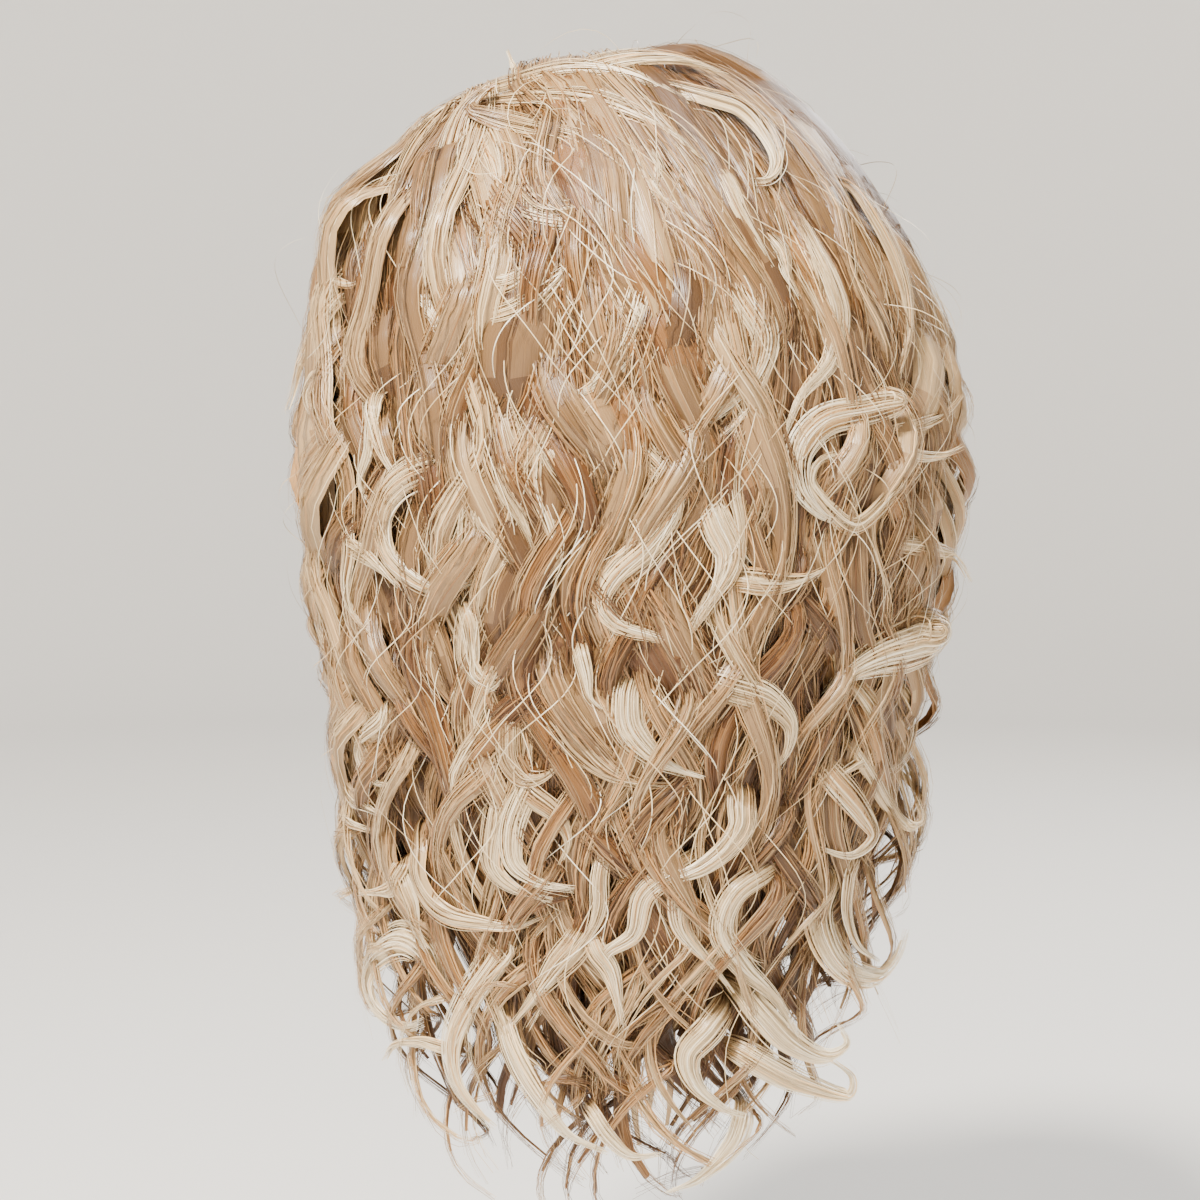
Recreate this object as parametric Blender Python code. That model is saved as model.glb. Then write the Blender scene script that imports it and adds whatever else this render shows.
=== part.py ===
"""Long curly wig with a lace front: a hollow cap, the lace strip along its front hairline, and the hair in sections.

The wig faces -Y, its back faces +Y and +Z is up, so +X is the wearer's left. The origin is the inside of the
cap's crown, where it sits on the top of the head. Lengths are in metres. An azimuth is in degrees round the
head from the back, positive towards the wearer's left. A meridian runs down the head from 0 at the crown to 1
at the head's widest level, and on below it. A height runs from 0 on the cap to 1 on the outside of the hair.
"""

import math
from collections import namedtuple

import bmesh
import bpy
import numpy as np

# The head that the cap fits, a girth of about 560 mm
HEAD_HALF_BREADTH = 0.078
HEAD_BACK = 0.098
HEAD_FRONT = 0.098
HEAD_CROWN = 0.105
CAP_DROP = 0.185

# The cap and its lace
CAP_WALL = 0.002
LACE_WALL = 0.001
LACE_WIDTH = 0.030
LACE_AZIMUTH = 102.0
SEAM_GAP = 0.0004
FORM_GAP = 0.0010

# The outside of the hair, from the crown's level
HAIR_RISE = 0.033
HAIR_DROP = 0.474
HAIR_HALF_WIDTH = 0.140
HAIR_BACK = 0.138
HAIR_FRONT = 0.112
DOME_POWER = 1.75
FACE_AZIMUTH = 124.0
HAIRLINE_INSET = 0.008
SECTION_GAP = 0.0006
SIDE_AZIMUTH = 58.0

# The locks
LOCK_HALF_WIDTH = 0.0135
LOCK_HALF_DEPTH = 0.0085
LOCK_LIFT = 0.050
CURL_RADIUS = 0.018
CURL_PITCH = 0.096
CURL_START = 0.110
WOUND_LIMIT = 1.00
PARTING_X = 0.056
PARTING_Y = -0.020
PARTING_SPREAD = 0.050
BACKING_HEIGHT = 0.52
ARC_HALF_WIDTH = 0.0105
ARC_HALF_DEPTH = 0.0085
ARC_STEPS = 36
EYE = (0.011, 1.250, -0.090)

# Fineness of the meshes
CAP_COLUMNS = 36
CAP_ROWS = 11
STEP = 0.006
STEPS = 100
LOCK_SIDES = 8
FUSE_SIZE = 0.0042
HAIR_TRIANGLES = 7400

EQUATOR = -HEAD_CROWN
GOLDEN = 0.6180339887


def table(name, columns, rows):
    """A table as a record of named columns, each an array."""
    return namedtuple(name, columns)(*(np.array(column, float) for column in zip(*rows)))


# The cap under the head's widest level, as shares of the cap's drop and of the head's sizes
HEAD_SECTIONS = table(
    "HeadSections",
    "drop breadth back front",
    [
        (HEAD_CROWN / CAP_DROP, 1.00, 1.00, 1.00),
        (0.80, 0.96, 0.92, 0.98),
        (1.00, 0.86, 0.72, 0.94),
        (1.15, 0.84, 0.66, 0.92),
    ],
)

# The cap's edge, from the nape round the ear and its tab to the forehead, as shares of the cap's drop
RIM = table(
    "Rim",
    "azimuth drop",
    [
        (0, 1.00),
        (28, 0.98),
        (52, 0.82),
        (72, 0.65),
        (92, 0.62),
        (106, 0.74),
        (118, 0.62),
        (134, 0.43),
        (152, 0.35),
        (180, 0.31),
    ],
)

# The outside of the hair under the widest level, as shares of the hair's drop, half-width, back and front
OUTSIDE = table(
    "Outside",
    "drop width back front",
    [
        (0.22, 0.97, 0.97, 1.00),
        (0.30, 1.00, 1.00, 1.00),
        (0.42, 0.99, 1.00, 0.98),
        (0.52, 0.90, 0.97, 0.93),
        (0.66, 0.88, 0.92, 0.88),
        (0.76, 0.82, 0.84, 0.80),
        (0.87, 0.80, 0.76, 0.72),
        (0.95, 0.68, 0.66, 0.62),
        (1.00, 0.52, 0.54, 0.54),
    ],
)

# The hollow inside the hair, as shares of the hair's drop and of the head's sizes
HOLLOW = table(
    "Hollow",
    "drop breadth back front",
    [
        (0.22, 1.00, 1.00, 1.00),
        (0.32, 0.96, 0.92, 0.98),
        (0.39, 0.90, 0.76, 0.94),
        (0.48, 0.94, 0.70, 0.90),
        (0.64, 0.88, 0.64, 0.82),
        (0.80, 0.70, 0.50, 0.66),
        (1.00, 0.28, 0.24, 0.40),
    ],
)

# Where the hair ends round the head, as shares of the hair's drop
HEM = table(
    "Hem",
    "azimuth drop",
    [
        (-180, 0.78),
        (-120, 0.80),
        (-90, 0.83),
        (-60, 0.90),
        (-30, 0.97),
        (-10, 1.00),
        (10, 0.99),
        (35, 0.97),
        (65, 0.93),
        (95, 0.86),
        (125, 0.82),
        (180, 0.80),
    ],
)

# The rows of locks: how many, from and to which azimuth, where on the meridian they are tied, how high they lie,
# how much of the way to the hem they reach, and how strongly they curl
LOCK_ROWS = table(
    "LockRows",
    "count azimuth_from azimuth_to root height tip curl",
    [
        (9, -150, 160, 0.22, 0.86, 0.62, 0.55),
        (5, 45, 110, 0.52, 0.92, 0.85, 0.60),
        (12, -135, 120, 0.42, 0.90, 0.80, 0.80),
        (14, -126, 126, 0.80, 0.94, 0.95, 1.00),
        (15, -122, 122, 1.15, 0.80, 1.00, 1.15),
        (7, 146, 214, 0.50, 0.85, 0.70, 0.60),
        (2, 116, 128, 0.95, 0.42, 0.94, 0.80),
        (2, -128, -116, 0.95, 0.42, 0.92, 0.80),
    ],
)

# The curls that stand out at the back, each an arc as it shows from behind: its middle and radius as shares of the
# hair's half-width and drop, and its angles from the wearer's left towards the top
ARCS = table(
    "Arcs",
    "side drop radius start sweep",
    [
        (0.21, 0.05, 0.13, 41, -250),
        (0.37, 0.10, 0.21, -21, -137),
        (-0.43, 0.19, 0.25, 127, 116),
        (-0.18, 0.22, 0.25, 142, 133),
        (-0.72, 0.33, 0.18, 103, -191),
        (0.57, 0.38, 0.19, 84, -205),
        (-0.12, 0.43, 0.17, 2, -160),
        (-0.23, 0.54, 0.24, 2, -97),
        (0.18, 0.67, 0.18, 40, -137),
        (-0.66, 0.66, 0.11, 93, 190),
        (-0.75, 0.75, 0.16, 56, -227),
        (-0.54, 0.76, 0.21, 63, -135),
        (0.69, 0.81, 0.13, 130, -250),
        (-0.57, 0.83, 0.14, -3, -165),
        (0.26, 0.87, 0.29, 62, -123),
        (0.00, 0.86, 0.37, 0, -83),
        (-0.07, 0.91, 0.29, 200, 59),
    ],
)


def mix(a, b, share):
    return a + (b - a) * share


def eased(share):
    """A share held between 0 and 1, starting and ending softly."""
    share = np.clip(share, 0, 1)
    return share * share * (3 - 2 * share)


def read(rows, column, at):
    return np.interp(at, rows[0], getattr(rows, column))


def turned(azimuth):
    """The azimuth from -180 to 180."""
    return (np.asarray(azimuth, float) + 180) % 360 - 180


def level_of(meridian):
    """The level at a place on the cap's meridian."""
    over = np.cos(np.radians(90 * np.minimum(meridian, 1)))
    return EQUATOR + HEAD_CROWN * over - HEAD_CROWN * np.maximum(meridian - 1, 0)


def meridian_of(level):
    """The place on the cap's meridian at a level."""
    above = np.degrees(np.arccos(np.clip((level - EQUATOR) / HEAD_CROWN, 0, 1))) / 90
    return np.where(level > EQUATOR, above, 1 + (EQUATOR - level) / HEAD_CROWN)


def unit(vectors):
    return vectors / np.maximum(np.linalg.norm(vectors, axis=-1, keepdims=True), 1e-9)


def head_point(azimuth, meridian, out):
    """A point that lies out from the inside of the cap."""
    level = level_of(meridian)
    below = -np.minimum(level, EQUATOR) / CAP_DROP
    flat = np.sin(np.radians(90 * np.minimum(meridian, 1)))
    angle = math.radians(azimuth)
    reach, share = (HEAD_BACK, "back") if math.cos(angle) > 0 else (HEAD_FRONT, "front")
    x = (HEAD_HALF_BREADTH * read(HEAD_SECTIONS, "breadth", below) + out) * flat * math.sin(angle)
    y = (reach * read(HEAD_SECTIONS, share, below) + out) * flat * math.cos(angle)
    rise = out * np.cos(np.radians(90 * np.minimum(meridian, 1)))
    return (float(x), float(y), float(level + rise))


def layer_sizes(level, height):
    """Half-width, and reach to the back and the front, of the hair's layer at this level and height."""
    drop = -np.minimum(level, EQUATOR) / HAIR_DROP
    inner = (
        HEAD_HALF_BREADTH * read(HOLLOW, "breadth", drop),
        HEAD_BACK * read(HOLLOW, "back", drop),
        HEAD_FRONT * read(HOLLOW, "front", drop),
    )
    outer = (
        HAIR_HALF_WIDTH * read(OUTSIDE, "width", drop),
        HAIR_BACK * read(OUTSIDE, "back", drop),
        HAIR_FRONT * read(OUTSIDE, "front", drop),
    )
    return [mix(a, b, height) for a, b in zip(inner, outer)]


def beyond(points, height):
    """How far out each point lies, as a share of its layer's reach there, with the layer's sizes."""
    x, y, z = points.T
    width, back, front = layer_sizes(z, height)
    reach = np.where(y > 0, back, front)
    rise = HEAD_CROWN + mix(CAP_WALL, HAIR_RISE, height)
    power = mix(2.0, DOME_POWER, height)
    flat = np.hypot(x / width, y / reach)
    up = np.maximum(z - EQUATOR, 0) / rise
    return (flat**power + up**power) ** (1 / power), width, reach, rise, power, flat, up


def on_layer(points, height):
    """The points moved straight out from the head's middle, or from its axis under it, onto their layer."""
    share = beyond(points, height)[0]
    moved = points / share[:, None]
    lifted = EQUATOR + (points[:, 2] - EQUATOR) / share
    moved[:, 2] = np.where(points[:, 2] > EQUATOR, lifted, points[:, 2])
    return moved


def outward(points, height):
    """The layer's outward direction at each point."""
    _, width, reach, rise, power, flat, up = beyond(points, height)
    steep = np.maximum(flat, 1e-3) ** (power - 2)
    x = steep * points[:, 0] / width**2
    y = steep * points[:, 1] / reach**2
    return unit(np.stack([x, y, up ** (power - 1) / rise], axis=1))


def layer_point(azimuth, meridian, height):
    """A point of the hair's layer over this place on the cap."""
    level = level_of(np.asarray(meridian, float))
    flat = np.sin(np.radians(90 * np.minimum(meridian, 1)))
    angle = np.radians(azimuth)
    width, back, front = layer_sizes(level, 0.0)
    reach = np.where(np.cos(angle) > 0, back, front)
    place = np.stack([width * flat * np.sin(angle), reach * flat * np.cos(angle), level + 0 * angle], axis=-1)
    return on_layer(place.reshape(-1, 3), height)


def combed(points, heights):
    """The way that hair is combed at each point: over the head away from the parting, and then down."""
    out = outward(points, heights)
    swept = unit(points[:, :2] - np.array([PARTING_X, PARTING_Y]))
    comb = np.concatenate([mix(swept, unit(points[:, :2]), 0.45), 0.15 + 0 * out[:, 2:]], axis=1)
    beside = eased((np.abs(points[:, 0]) / HEAD_HALF_BREADTH - 0.4) / 0.8)
    behind = eased((points[:, 1] / HEAD_BACK + 0.5) / 1.2)
    below = eased((-points[:, 2] / HEAD_CROWN - 0.1) / 0.75)
    azimuth = np.degrees(np.arctan2(points[:, 0], points[:, 1]))
    ahead = eased((np.abs(azimuth) - FACE_AZIMUTH) / 16)
    fall = np.maximum(0.08 + 0.92 * np.maximum(beside, behind) * below, beside * 0.85) * (1 - ahead)
    way = comb * (1 - fall)[:, None] * 0.8 + np.array([0, 0, -1.0]) * fall[:, None]
    side = np.where(points[:, 0] < 0.5 * PARTING_X, -1.0, 1.0)
    way += np.stack([1.4 * side, 0.9 + 0 * side, -0.5 + 0 * side], axis=1) * ahead[:, None]
    return unit(way - out * (way * out).sum(1, keepdims=True))


def lock_lines(azimuths, roots, heights, tips):
    """The middle line of each lock, STEPS points long, from its root to its tip, before it is curled."""
    points = layer_point(azimuths, roots, 0.1 * heights)
    way = combed(points, heights)
    line = [points]
    for step in range(1, STEPS * 2):
        height = heights * mix(0.1, 1.0, eased(step * STEP / LOCK_LIFT))
        way = unit(mix(way, combed(points, height), 0.35))
        points = on_layer(points + way * STEP, height)
        line.append(points)
    lines = np.stack(line, axis=1)
    spaced = []
    for line, tip in zip(lines, tips):
        around = np.degrees(np.arctan2(line[:, 0], line[:, 1]))
        reached = -line[:, 2] > tip * HAIR_DROP * read(HEM, "drop", around)
        last = int(np.argmax(reached)) if reached.any() else len(line) - 1
        places = np.linspace(0, max(last, 8), STEPS)
        spaced.append(np.stack([np.interp(places, range(len(line)), line[:, k]) for k in range(3)], axis=1))
    return np.stack(spaced)


def curled(line, height, curl, turn, lean, hand):
    """The line wound into waves that grow into curls towards its tip, with the outward direction along it."""
    layer = np.full(len(line), height)
    out = outward(line, layer)
    along = unit(np.gradient(line, axis=0))
    across = unit(np.cross(along, out))
    gone = np.concatenate([[0], np.cumsum(np.linalg.norm(np.diff(line, axis=0), axis=1))])
    radius = (CURL_RADIUS * curl * eased(gone / CURL_START))[:, None]
    phase = (2 * math.pi * (turn + hand * gone / CURL_PITCH))[:, None]
    second = out * 0.70 * (1 - lean) + along * lean
    wound = line + radius * (np.cos(phase) * across + np.sin(phase) * second)
    share = np.maximum(beyond(wound, np.ones(len(wound)))[0] / WOUND_LIMIT, 1.0)
    kept = wound.copy()
    kept[:, :2] /= share[:, None]
    lifted = EQUATOR + (wound[:, 2] - EQUATOR) / share
    kept[:, 2] = np.where(wound[:, 2] > EQUATOR, lifted, wound[:, 2])
    return kept, out


def mesh_object(name, points, faces):
    mesh = bpy.data.meshes.new(name)
    mesh.from_pydata([tuple(map(float, p)) for p in points], [], faces)
    mesh.validate()
    obj = bpy.data.objects.new(name, mesh)
    bpy.context.scene.collection.objects.link(obj)
    return obj


def facing_out(obj):
    """The object with its faces turned outwards."""
    shape = bmesh.new()
    shape.from_mesh(obj.data)
    bmesh.ops.recalc_face_normals(shape, faces=shape.faces)
    shape.to_mesh(obj.data)
    shape.free()
    return obj


def helper(obj):
    obj.hide_render = True
    obj.display_type = "WIRE"
    return obj


def patch(name, azimuths, starts, ends, rows, inside, outside):
    """A closed wall over part of the head, between two surfaces that take an azimuth and a meridian."""
    columns = len(azimuths)
    rings = []
    for surface in (inside, outside):
        for azimuth, start, end in zip(azimuths, starts, ends):
            rings.append([surface(azimuth, mix(start, end, row / rows)) for row in range(rows + 1)])
    points = [point for ring in rings for point in ring]
    count = rows + 1

    def index(layer, column, row):
        return (layer * columns + column) * count + row

    faces = []
    for c in range(columns - 1):
        for r in range(rows):
            low = [index(0, c, r), index(0, c + 1, r), index(0, c + 1, r + 1), index(0, c, r + 1)]
            high = [index(1, c, r), index(1, c, r + 1), index(1, c + 1, r + 1), index(1, c + 1, r)]
            faces += [low, high]
        for r in (0, rows):
            faces.append([index(0, c, r), index(1, c, r), index(1, c + 1, r), index(0, c + 1, r)])
    for c in (0, columns - 1):
        for r in range(rows):
            faces.append([index(0, c, r), index(0, c, r + 1), index(1, c, r + 1), index(1, c, r)])
    return facing_out(mesh_object(name, points, faces))


def dome(name, columns, ends, rows, inside, outside):
    """A closed wall all round the head from its crown down, or a solid form where inside is None."""
    angles = [360 * c / columns - 180 for c in range(columns)]
    layers = [surface for surface in (outside, inside) if surface]
    points, faces = [], []
    for surface in layers:
        start = len(points)
        points.append(surface(0.0, 0.0))
        for azimuth, end in zip(angles, ends):
            points += [surface(azimuth, end * row / rows) for row in range(1, rows + 1)]
        for c in range(columns):
            here, there = start + 1 + c * rows, start + 1 + (c + 1) % columns * rows
            faces.append([start, here, there])
            faces += [[here + r, here + r + 1, there + r + 1, there + r] for r in range(rows - 1)]
    rim = [1 + c * rows + rows - 1 for c in range(columns)]
    if inside:
        low = len(points) // 2
        for c in range(columns):
            here, there = rim[c], rim[(c + 1) % columns]
            faces.append([here, low + here, low + there, there])
    else:
        faces.append(rim)
    return facing_out(mesh_object(name, points, faces))


def rim_meridian(azimuth):
    return float(meridian_of(-CAP_DROP * read(RIM, "drop", abs(turned(azimuth)))))


def lace_start(azimuth):
    """The meridian of the seam between the cap and its lace."""
    return rim_meridian(azimuth) - LACE_WIDTH / (HEAD_CROWN * math.pi / 2)


def in_front(azimuth):
    return abs(float(turned(azimuth))) > LACE_AZIMUTH


def build_cap():
    seam = SEAM_GAP / (HEAD_CROWN * math.pi / 2)
    angles = [360 * c / CAP_COLUMNS - 180 for c in range(CAP_COLUMNS)]
    ends = [lace_start(a) - seam if in_front(a) else rim_meridian(a) for a in angles]
    return dome(
        "cap",
        CAP_COLUMNS,
        ends,
        CAP_ROWS,
        lambda azimuth, meridian: head_point(azimuth, meridian, 0.0),
        lambda azimuth, meridian: head_point(azimuth, meridian, CAP_WALL),
    )


def build_lace():
    """The strip from ear to ear, on the head side of the cap's wall."""
    first = 180 - (360 / CAP_COLUMNS) * math.floor((180 - LACE_AZIMUTH) / (360 / CAP_COLUMNS))
    azimuths = np.linspace(first, 360 - first, 2 * round((180 - first) * CAP_COLUMNS / 360) + 1)
    return patch(
        "lace_front",
        azimuths,
        [lace_start(a) for a in azimuths],
        [rim_meridian(a) for a in azimuths],
        3,
        lambda azimuth, meridian: head_point(azimuth, meridian, 0.0),
        lambda azimuth, meridian: head_point(azimuth, meridian, LACE_WALL),
    )


def build_head_form():
    """The room that the cap takes, cut out of the hair."""
    low = float(meridian_of(np.array(-CAP_DROP * 1.15)))
    return helper(
        dome(
            "head_form",
            CAP_COLUMNS,
            [low] * CAP_COLUMNS,
            CAP_ROWS + 2,
            None,
            lambda azimuth, meridian: head_point(azimuth, meridian, CAP_WALL + FORM_GAP),
        )
    )


def inner_layer(height):
    return lambda azimuth, meridian: tuple(layer_point(azimuth, meridian, height)[0])


def backing_layer(azimuth, meridian):
    """The outside of the backing, which stands highest round the parting."""
    point = layer_point(azimuth, meridian, BACKING_HEIGHT)[0]
    near = math.exp(-((math.dist(point, (PARTING_X, PARTING_Y, 0)) / PARTING_SPREAD) ** 2))
    return tuple(layer_point(azimuth, meridian, mix(BACKING_HEIGHT, 0.97, near))[0])


def build_backing():
    """The hair next to the head: a hood over the cap, and a curtain that hangs behind and beside the face."""
    inset = HAIRLINE_INSET / (HEAD_CROWN * math.pi / 2)
    angles = [360 * c / CAP_COLUMNS - 180 for c in range(CAP_COLUMNS)]
    ends = [rim_meridian(a) - inset for a in angles]
    hood = dome("hood", CAP_COLUMNS, ends, CAP_ROWS, inner_layer(0.0), backing_layer)
    columns = np.linspace(-FACE_AZIMUTH, FACE_AZIMUTH, 25)
    lows = [float(meridian_of(-0.88 * HAIR_DROP * read(HEM, "drop", a))) for a in columns]
    curtain = patch("curtain", columns, [0.85] * len(columns), lows, 12, inner_layer(0.12), backing_layer)
    return [hood, curtain]


def tube(name, line, out, half_width, half_depth):
    """A closed lock round a line: flat, full in the middle and pointed at its tip."""
    along = unit(np.gradient(line, axis=0))
    across = unit(np.cross(along, out))
    facing = np.cross(across, along)
    share = np.linspace(0, 1, len(line))
    full = (0.6 + 0.4 * eased(share / 0.3)) * (1 - 0.62 * eased((share - 0.72) / 0.28))
    points, faces = [], []
    for ring in range(len(line)):
        for side in range(LOCK_SIDES):
            angle = 2 * math.pi * side / LOCK_SIDES
            wide = across[ring] * math.cos(angle) * half_width * full[ring]
            deep = facing[ring] * math.sin(angle) * half_depth * full[ring]
            points.append(line[ring] + wide + deep)
    for ring in range(len(line) - 1):
        here, there = ring * LOCK_SIDES, (ring + 1) * LOCK_SIDES
        for side in range(LOCK_SIDES):
            after = (side + 1) % LOCK_SIDES
            faces.append([here + side, here + after, there + after, there + side])
    faces.append(list(range(LOCK_SIDES)))
    faces.append(list(range(len(points) - LOCK_SIDES, len(points))))
    return facing_out(mesh_object(name, points, faces))


def build_locks():
    locks = []
    number = 0
    for row in zip(*LOCK_ROWS):
        count, azimuth_from, azimuth_to, root, height, tip, curl = row
        places = (np.arange(int(count)) + 0.5) / count
        azimuths = turned(mix(azimuth_from, azimuth_to, places))
        order = np.arange(number, number + int(count))
        vary = order * GOLDEN % 1
        roots = np.minimum(root + 0.10 * (vary - 0.5), [rim_meridian(a) - 0.08 for a in azimuths])
        tips = tip * (1 - 0.12 * (order * GOLDEN * 3 % 1))
        lines = lock_lines(azimuths, roots, np.full(len(order), height), tips)
        for k, line in zip(order, lines):
            hand = 1 if k % 3 else -1
            turn, lean = k * GOLDEN * 2 % 1, 0.6 * (k * GOLDEN * 5 % 1)
            wound, out = curled(line, height, curl, turn, lean, hand)
            locks.append(tube(f"lock_{k:02d}", wound, out, LOCK_HALF_WIDTH, LOCK_HALF_DEPTH))
        number += int(count)
    return locks


def seen_from_behind(x, z, height):
    """The points of the layer that cover these places, x and z, of the plane through the head's middle."""
    flat_places = np.stack([x, 0 * x, z], axis=1)
    depth = np.full(len(x), HAIR_BACK)
    for _ in range(20):
        points = mix(flat_places, np.array(EYE), (depth / EYE[1])[:, None])
        width, back, _ = layer_sizes(points[:, 2], height)
        _, _, _, _, power, _, up = beyond(points, height)
        flat = (1 - np.minimum(up, 1) ** power) ** (2 / power)
        depth = mix(depth, back * np.sqrt(np.maximum(flat - (points[:, 0] / width) ** 2, 0.0)), 0.6)
    return points


def build_arcs():
    arcs = []
    share = np.linspace(0, 1, ARC_STEPS)
    height = mix(0.75, 1.06, eased(share / 0.4))
    for number, (side, drop, radius, start, sweep) in enumerate(zip(*ARCS)):
        angle = np.radians(start + sweep * share)
        reach = HAIR_HALF_WIDTH * radius * (1 - 0.25 * share)
        x = HAIR_HALF_WIDTH * side + reach * np.cos(angle)
        z = -HAIR_DROP * drop + reach * np.sin(angle)
        line = seen_from_behind(x, z, height)
        arcs.append(tube(f"arc_{number:02d}", line, outward(line, height), ARC_HALF_WIDTH, ARC_HALF_DEPTH))
    return arcs


def joined(name, objects):
    """The objects' meshes as one helper object."""
    shape = bmesh.new()
    for obj in objects:
        shape.from_mesh(obj.data)
        bpy.data.objects.remove(obj)
    mesh = bpy.data.meshes.new(name)
    shape.to_mesh(mesh)
    shape.free()
    obj = bpy.data.objects.new(name, mesh)
    bpy.context.scene.collection.objects.link(obj)
    return helper(obj)


def made_real(obj):
    """The object's mesh with its modifiers worked out."""
    graph = bpy.context.evaluated_depsgraph_get()
    mesh = bpy.data.meshes.new_from_object(obj.evaluated_get(graph))
    obj.modifiers.clear()
    obj.data = mesh
    return obj


def whole(obj):
    """The object's largest body, without the flakes that a cut through the curls leaves."""
    shape = bmesh.new()
    shape.from_mesh(obj.data)
    left = set(shape.faces)
    bodies = []
    while left:
        body, edge = set(), [left.pop()]
        while edge:
            face = edge.pop()
            body.add(face)
            near = {other for side in face.edges for other in side.link_faces} & left
            left -= near
            edge += near
        bodies.append(body)
    bodies.sort(key=lambda body: sum(face.calc_area() for face in body))
    loose = [face for body in bodies[:-1] for face in body]
    bmesh.ops.delete(shape, geom=loose, context="FACES")
    bmesh.ops.triangulate(shape, faces=shape.faces)
    shape.to_mesh(obj.data)
    shape.free()
    return obj


def add_boolean(obj, operation, other):
    step = obj.modifiers.new(operation.lower(), "BOOLEAN")
    step.operation = operation
    step.object = other


def build_hair_mass():
    """All the hair as one body: the backing and its locks fused, with the room for the cap cut out."""
    mass = joined("hair_mass", build_backing() + build_locks() + build_arcs())
    fuse = mass.modifiers.new("fuse", "REMESH")
    fuse.mode = "VOXEL"
    fuse.voxel_size = FUSE_SIZE
    made_real(mass)
    whole(mass)
    fewer = mass.modifiers.new("fewer", "DECIMATE")
    fewer.ratio = HAIR_TRIANGLES / len(mass.data.polygons)
    made_real(mass)
    add_boolean(mass, "DIFFERENCE", build_head_form())
    return whole(made_real(mass))


def room(name, azimuth_from, azimuth_to, below_parting):
    """A section of the hair's room: a slice round the head, or all that lies over the crown's parting."""
    far, half = 2 * HAIR_DROP, SECTION_GAP / 2
    parting = lambda x, y, shift: (x, y, EQUATOR * 0.35 + 0.30 * y + shift)
    if not below_parting:
        square = [(-far, -far), (far, -far), (far, far), (-far, far)]
        low = [parting(x, y, half) for x, y in square]
        high = [(x, y, far) for x, y in square]
    else:
        angles = np.radians(np.linspace(azimuth_from, azimuth_to, 5))
        middle = math.radians((azimuth_from + azimuth_to) / 2)
        shift = half / math.sin(math.radians((azimuth_to - azimuth_from) / 2))
        x0, y0 = shift * math.sin(middle), shift * math.cos(middle)
        flat = [(x0, y0)] + [(x0 + far * math.sin(a), y0 + far * math.cos(a)) for a in angles]
        low = [(x, y, -2 * far) for x, y in flat]
        high = [parting(x, y, -half) for x, y in flat]
    count = len(low)
    faces = [list(range(count)), list(range(count, 2 * count))]
    faces += [[k, (k + 1) % count, count + (k + 1) % count, count + k] for k in range(count)]
    return facing_out(helper(mesh_object(name, low + high, faces)))


def build_sections(mass):
    sections = {
        "hair_top": (0, 0, False),
        "hair_back": (-SIDE_AZIMUTH, SIDE_AZIMUTH, True),
        "hair_left": (SIDE_AZIMUTH, 179.5, True),
        "hair_right": (-179.5, -SIDE_AZIMUTH, True),
    }
    made = []
    for name, place in sections.items():
        obj = bpy.data.objects.new(name, mass.data.copy())
        bpy.context.scene.collection.objects.link(obj)
        add_boolean(obj, "INTERSECT", room(name + "_room", *place))
        made.append(whole(made_real(obj)))
    return made


def material(name, colour, roughness):
    made = bpy.data.materials.new(name)
    made.use_nodes = True
    shader = made.node_tree.nodes["Principled BSDF"]
    shader.inputs["Base Color"].default_value = (*colour, 1)
    shader.inputs["Roughness"].default_value = roughness
    shader.inputs["Metallic"].default_value = 0
    return made


def main():
    for obj in list(bpy.data.objects):
        bpy.data.objects.remove(obj)
    cap, lace = build_cap(), build_lace()
    hair = build_sections(build_hair_mass())
    cap.data.materials.append(material("cap_net", (0.55, 0.40, 0.28), 0.8))
    lace.data.materials.append(material("lace", (0.72, 0.56, 0.43), 0.7))
    blonde = material("blonde_hair", (0.62, 0.49, 0.33), 0.45)
    for section in hair:
        section.data.materials.clear()
        section.data.materials.append(blonde)
        section.data.shade_smooth()
        section.data.set_sharp_from_angle(angle=math.radians(60))
    cap.data.shade_smooth()
    cap.data.set_sharp_from_angle(angle=math.radians(40))


main()
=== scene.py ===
"""Looks of a long curly wig with a lace front: strands in curled locks over a hollow cap, on a pale floor.

The wig faces -Y and the camera looks at its back from +Y. An azimuth is in degrees round the head from the
back, positive towards the wearer's left. A meridian runs down the head from 0 at the crown to 1 at the head's
widest level, and on below it. A height runs from 0 on the cap to 1 on the outside of the hair. Lengths are in
metres.
"""

import math
from collections import namedtuple

import bpy
import numpy as np
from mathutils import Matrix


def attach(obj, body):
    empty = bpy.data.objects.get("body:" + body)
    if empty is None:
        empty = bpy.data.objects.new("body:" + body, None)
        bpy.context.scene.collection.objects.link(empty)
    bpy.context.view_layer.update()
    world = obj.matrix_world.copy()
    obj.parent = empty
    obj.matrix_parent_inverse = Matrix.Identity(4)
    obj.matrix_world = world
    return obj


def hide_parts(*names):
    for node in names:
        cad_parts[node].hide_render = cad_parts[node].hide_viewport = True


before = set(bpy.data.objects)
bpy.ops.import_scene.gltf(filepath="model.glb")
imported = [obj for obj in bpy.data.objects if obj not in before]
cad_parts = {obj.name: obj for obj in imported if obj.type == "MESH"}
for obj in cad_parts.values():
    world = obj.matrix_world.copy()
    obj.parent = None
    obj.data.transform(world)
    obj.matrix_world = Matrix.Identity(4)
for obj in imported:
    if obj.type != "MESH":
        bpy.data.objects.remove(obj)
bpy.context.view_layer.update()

# The head and the cap
HEAD_HALF_BREADTH = 0.078
HEAD_BACK = 0.098
HEAD_FRONT = 0.098
HEAD_CROWN = 0.105
CAP_DROP = 0.185
CAP_WALL = 0.002
LACE_WIDTH = 0.030
LACE_AZIMUTH = 102.0

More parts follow.
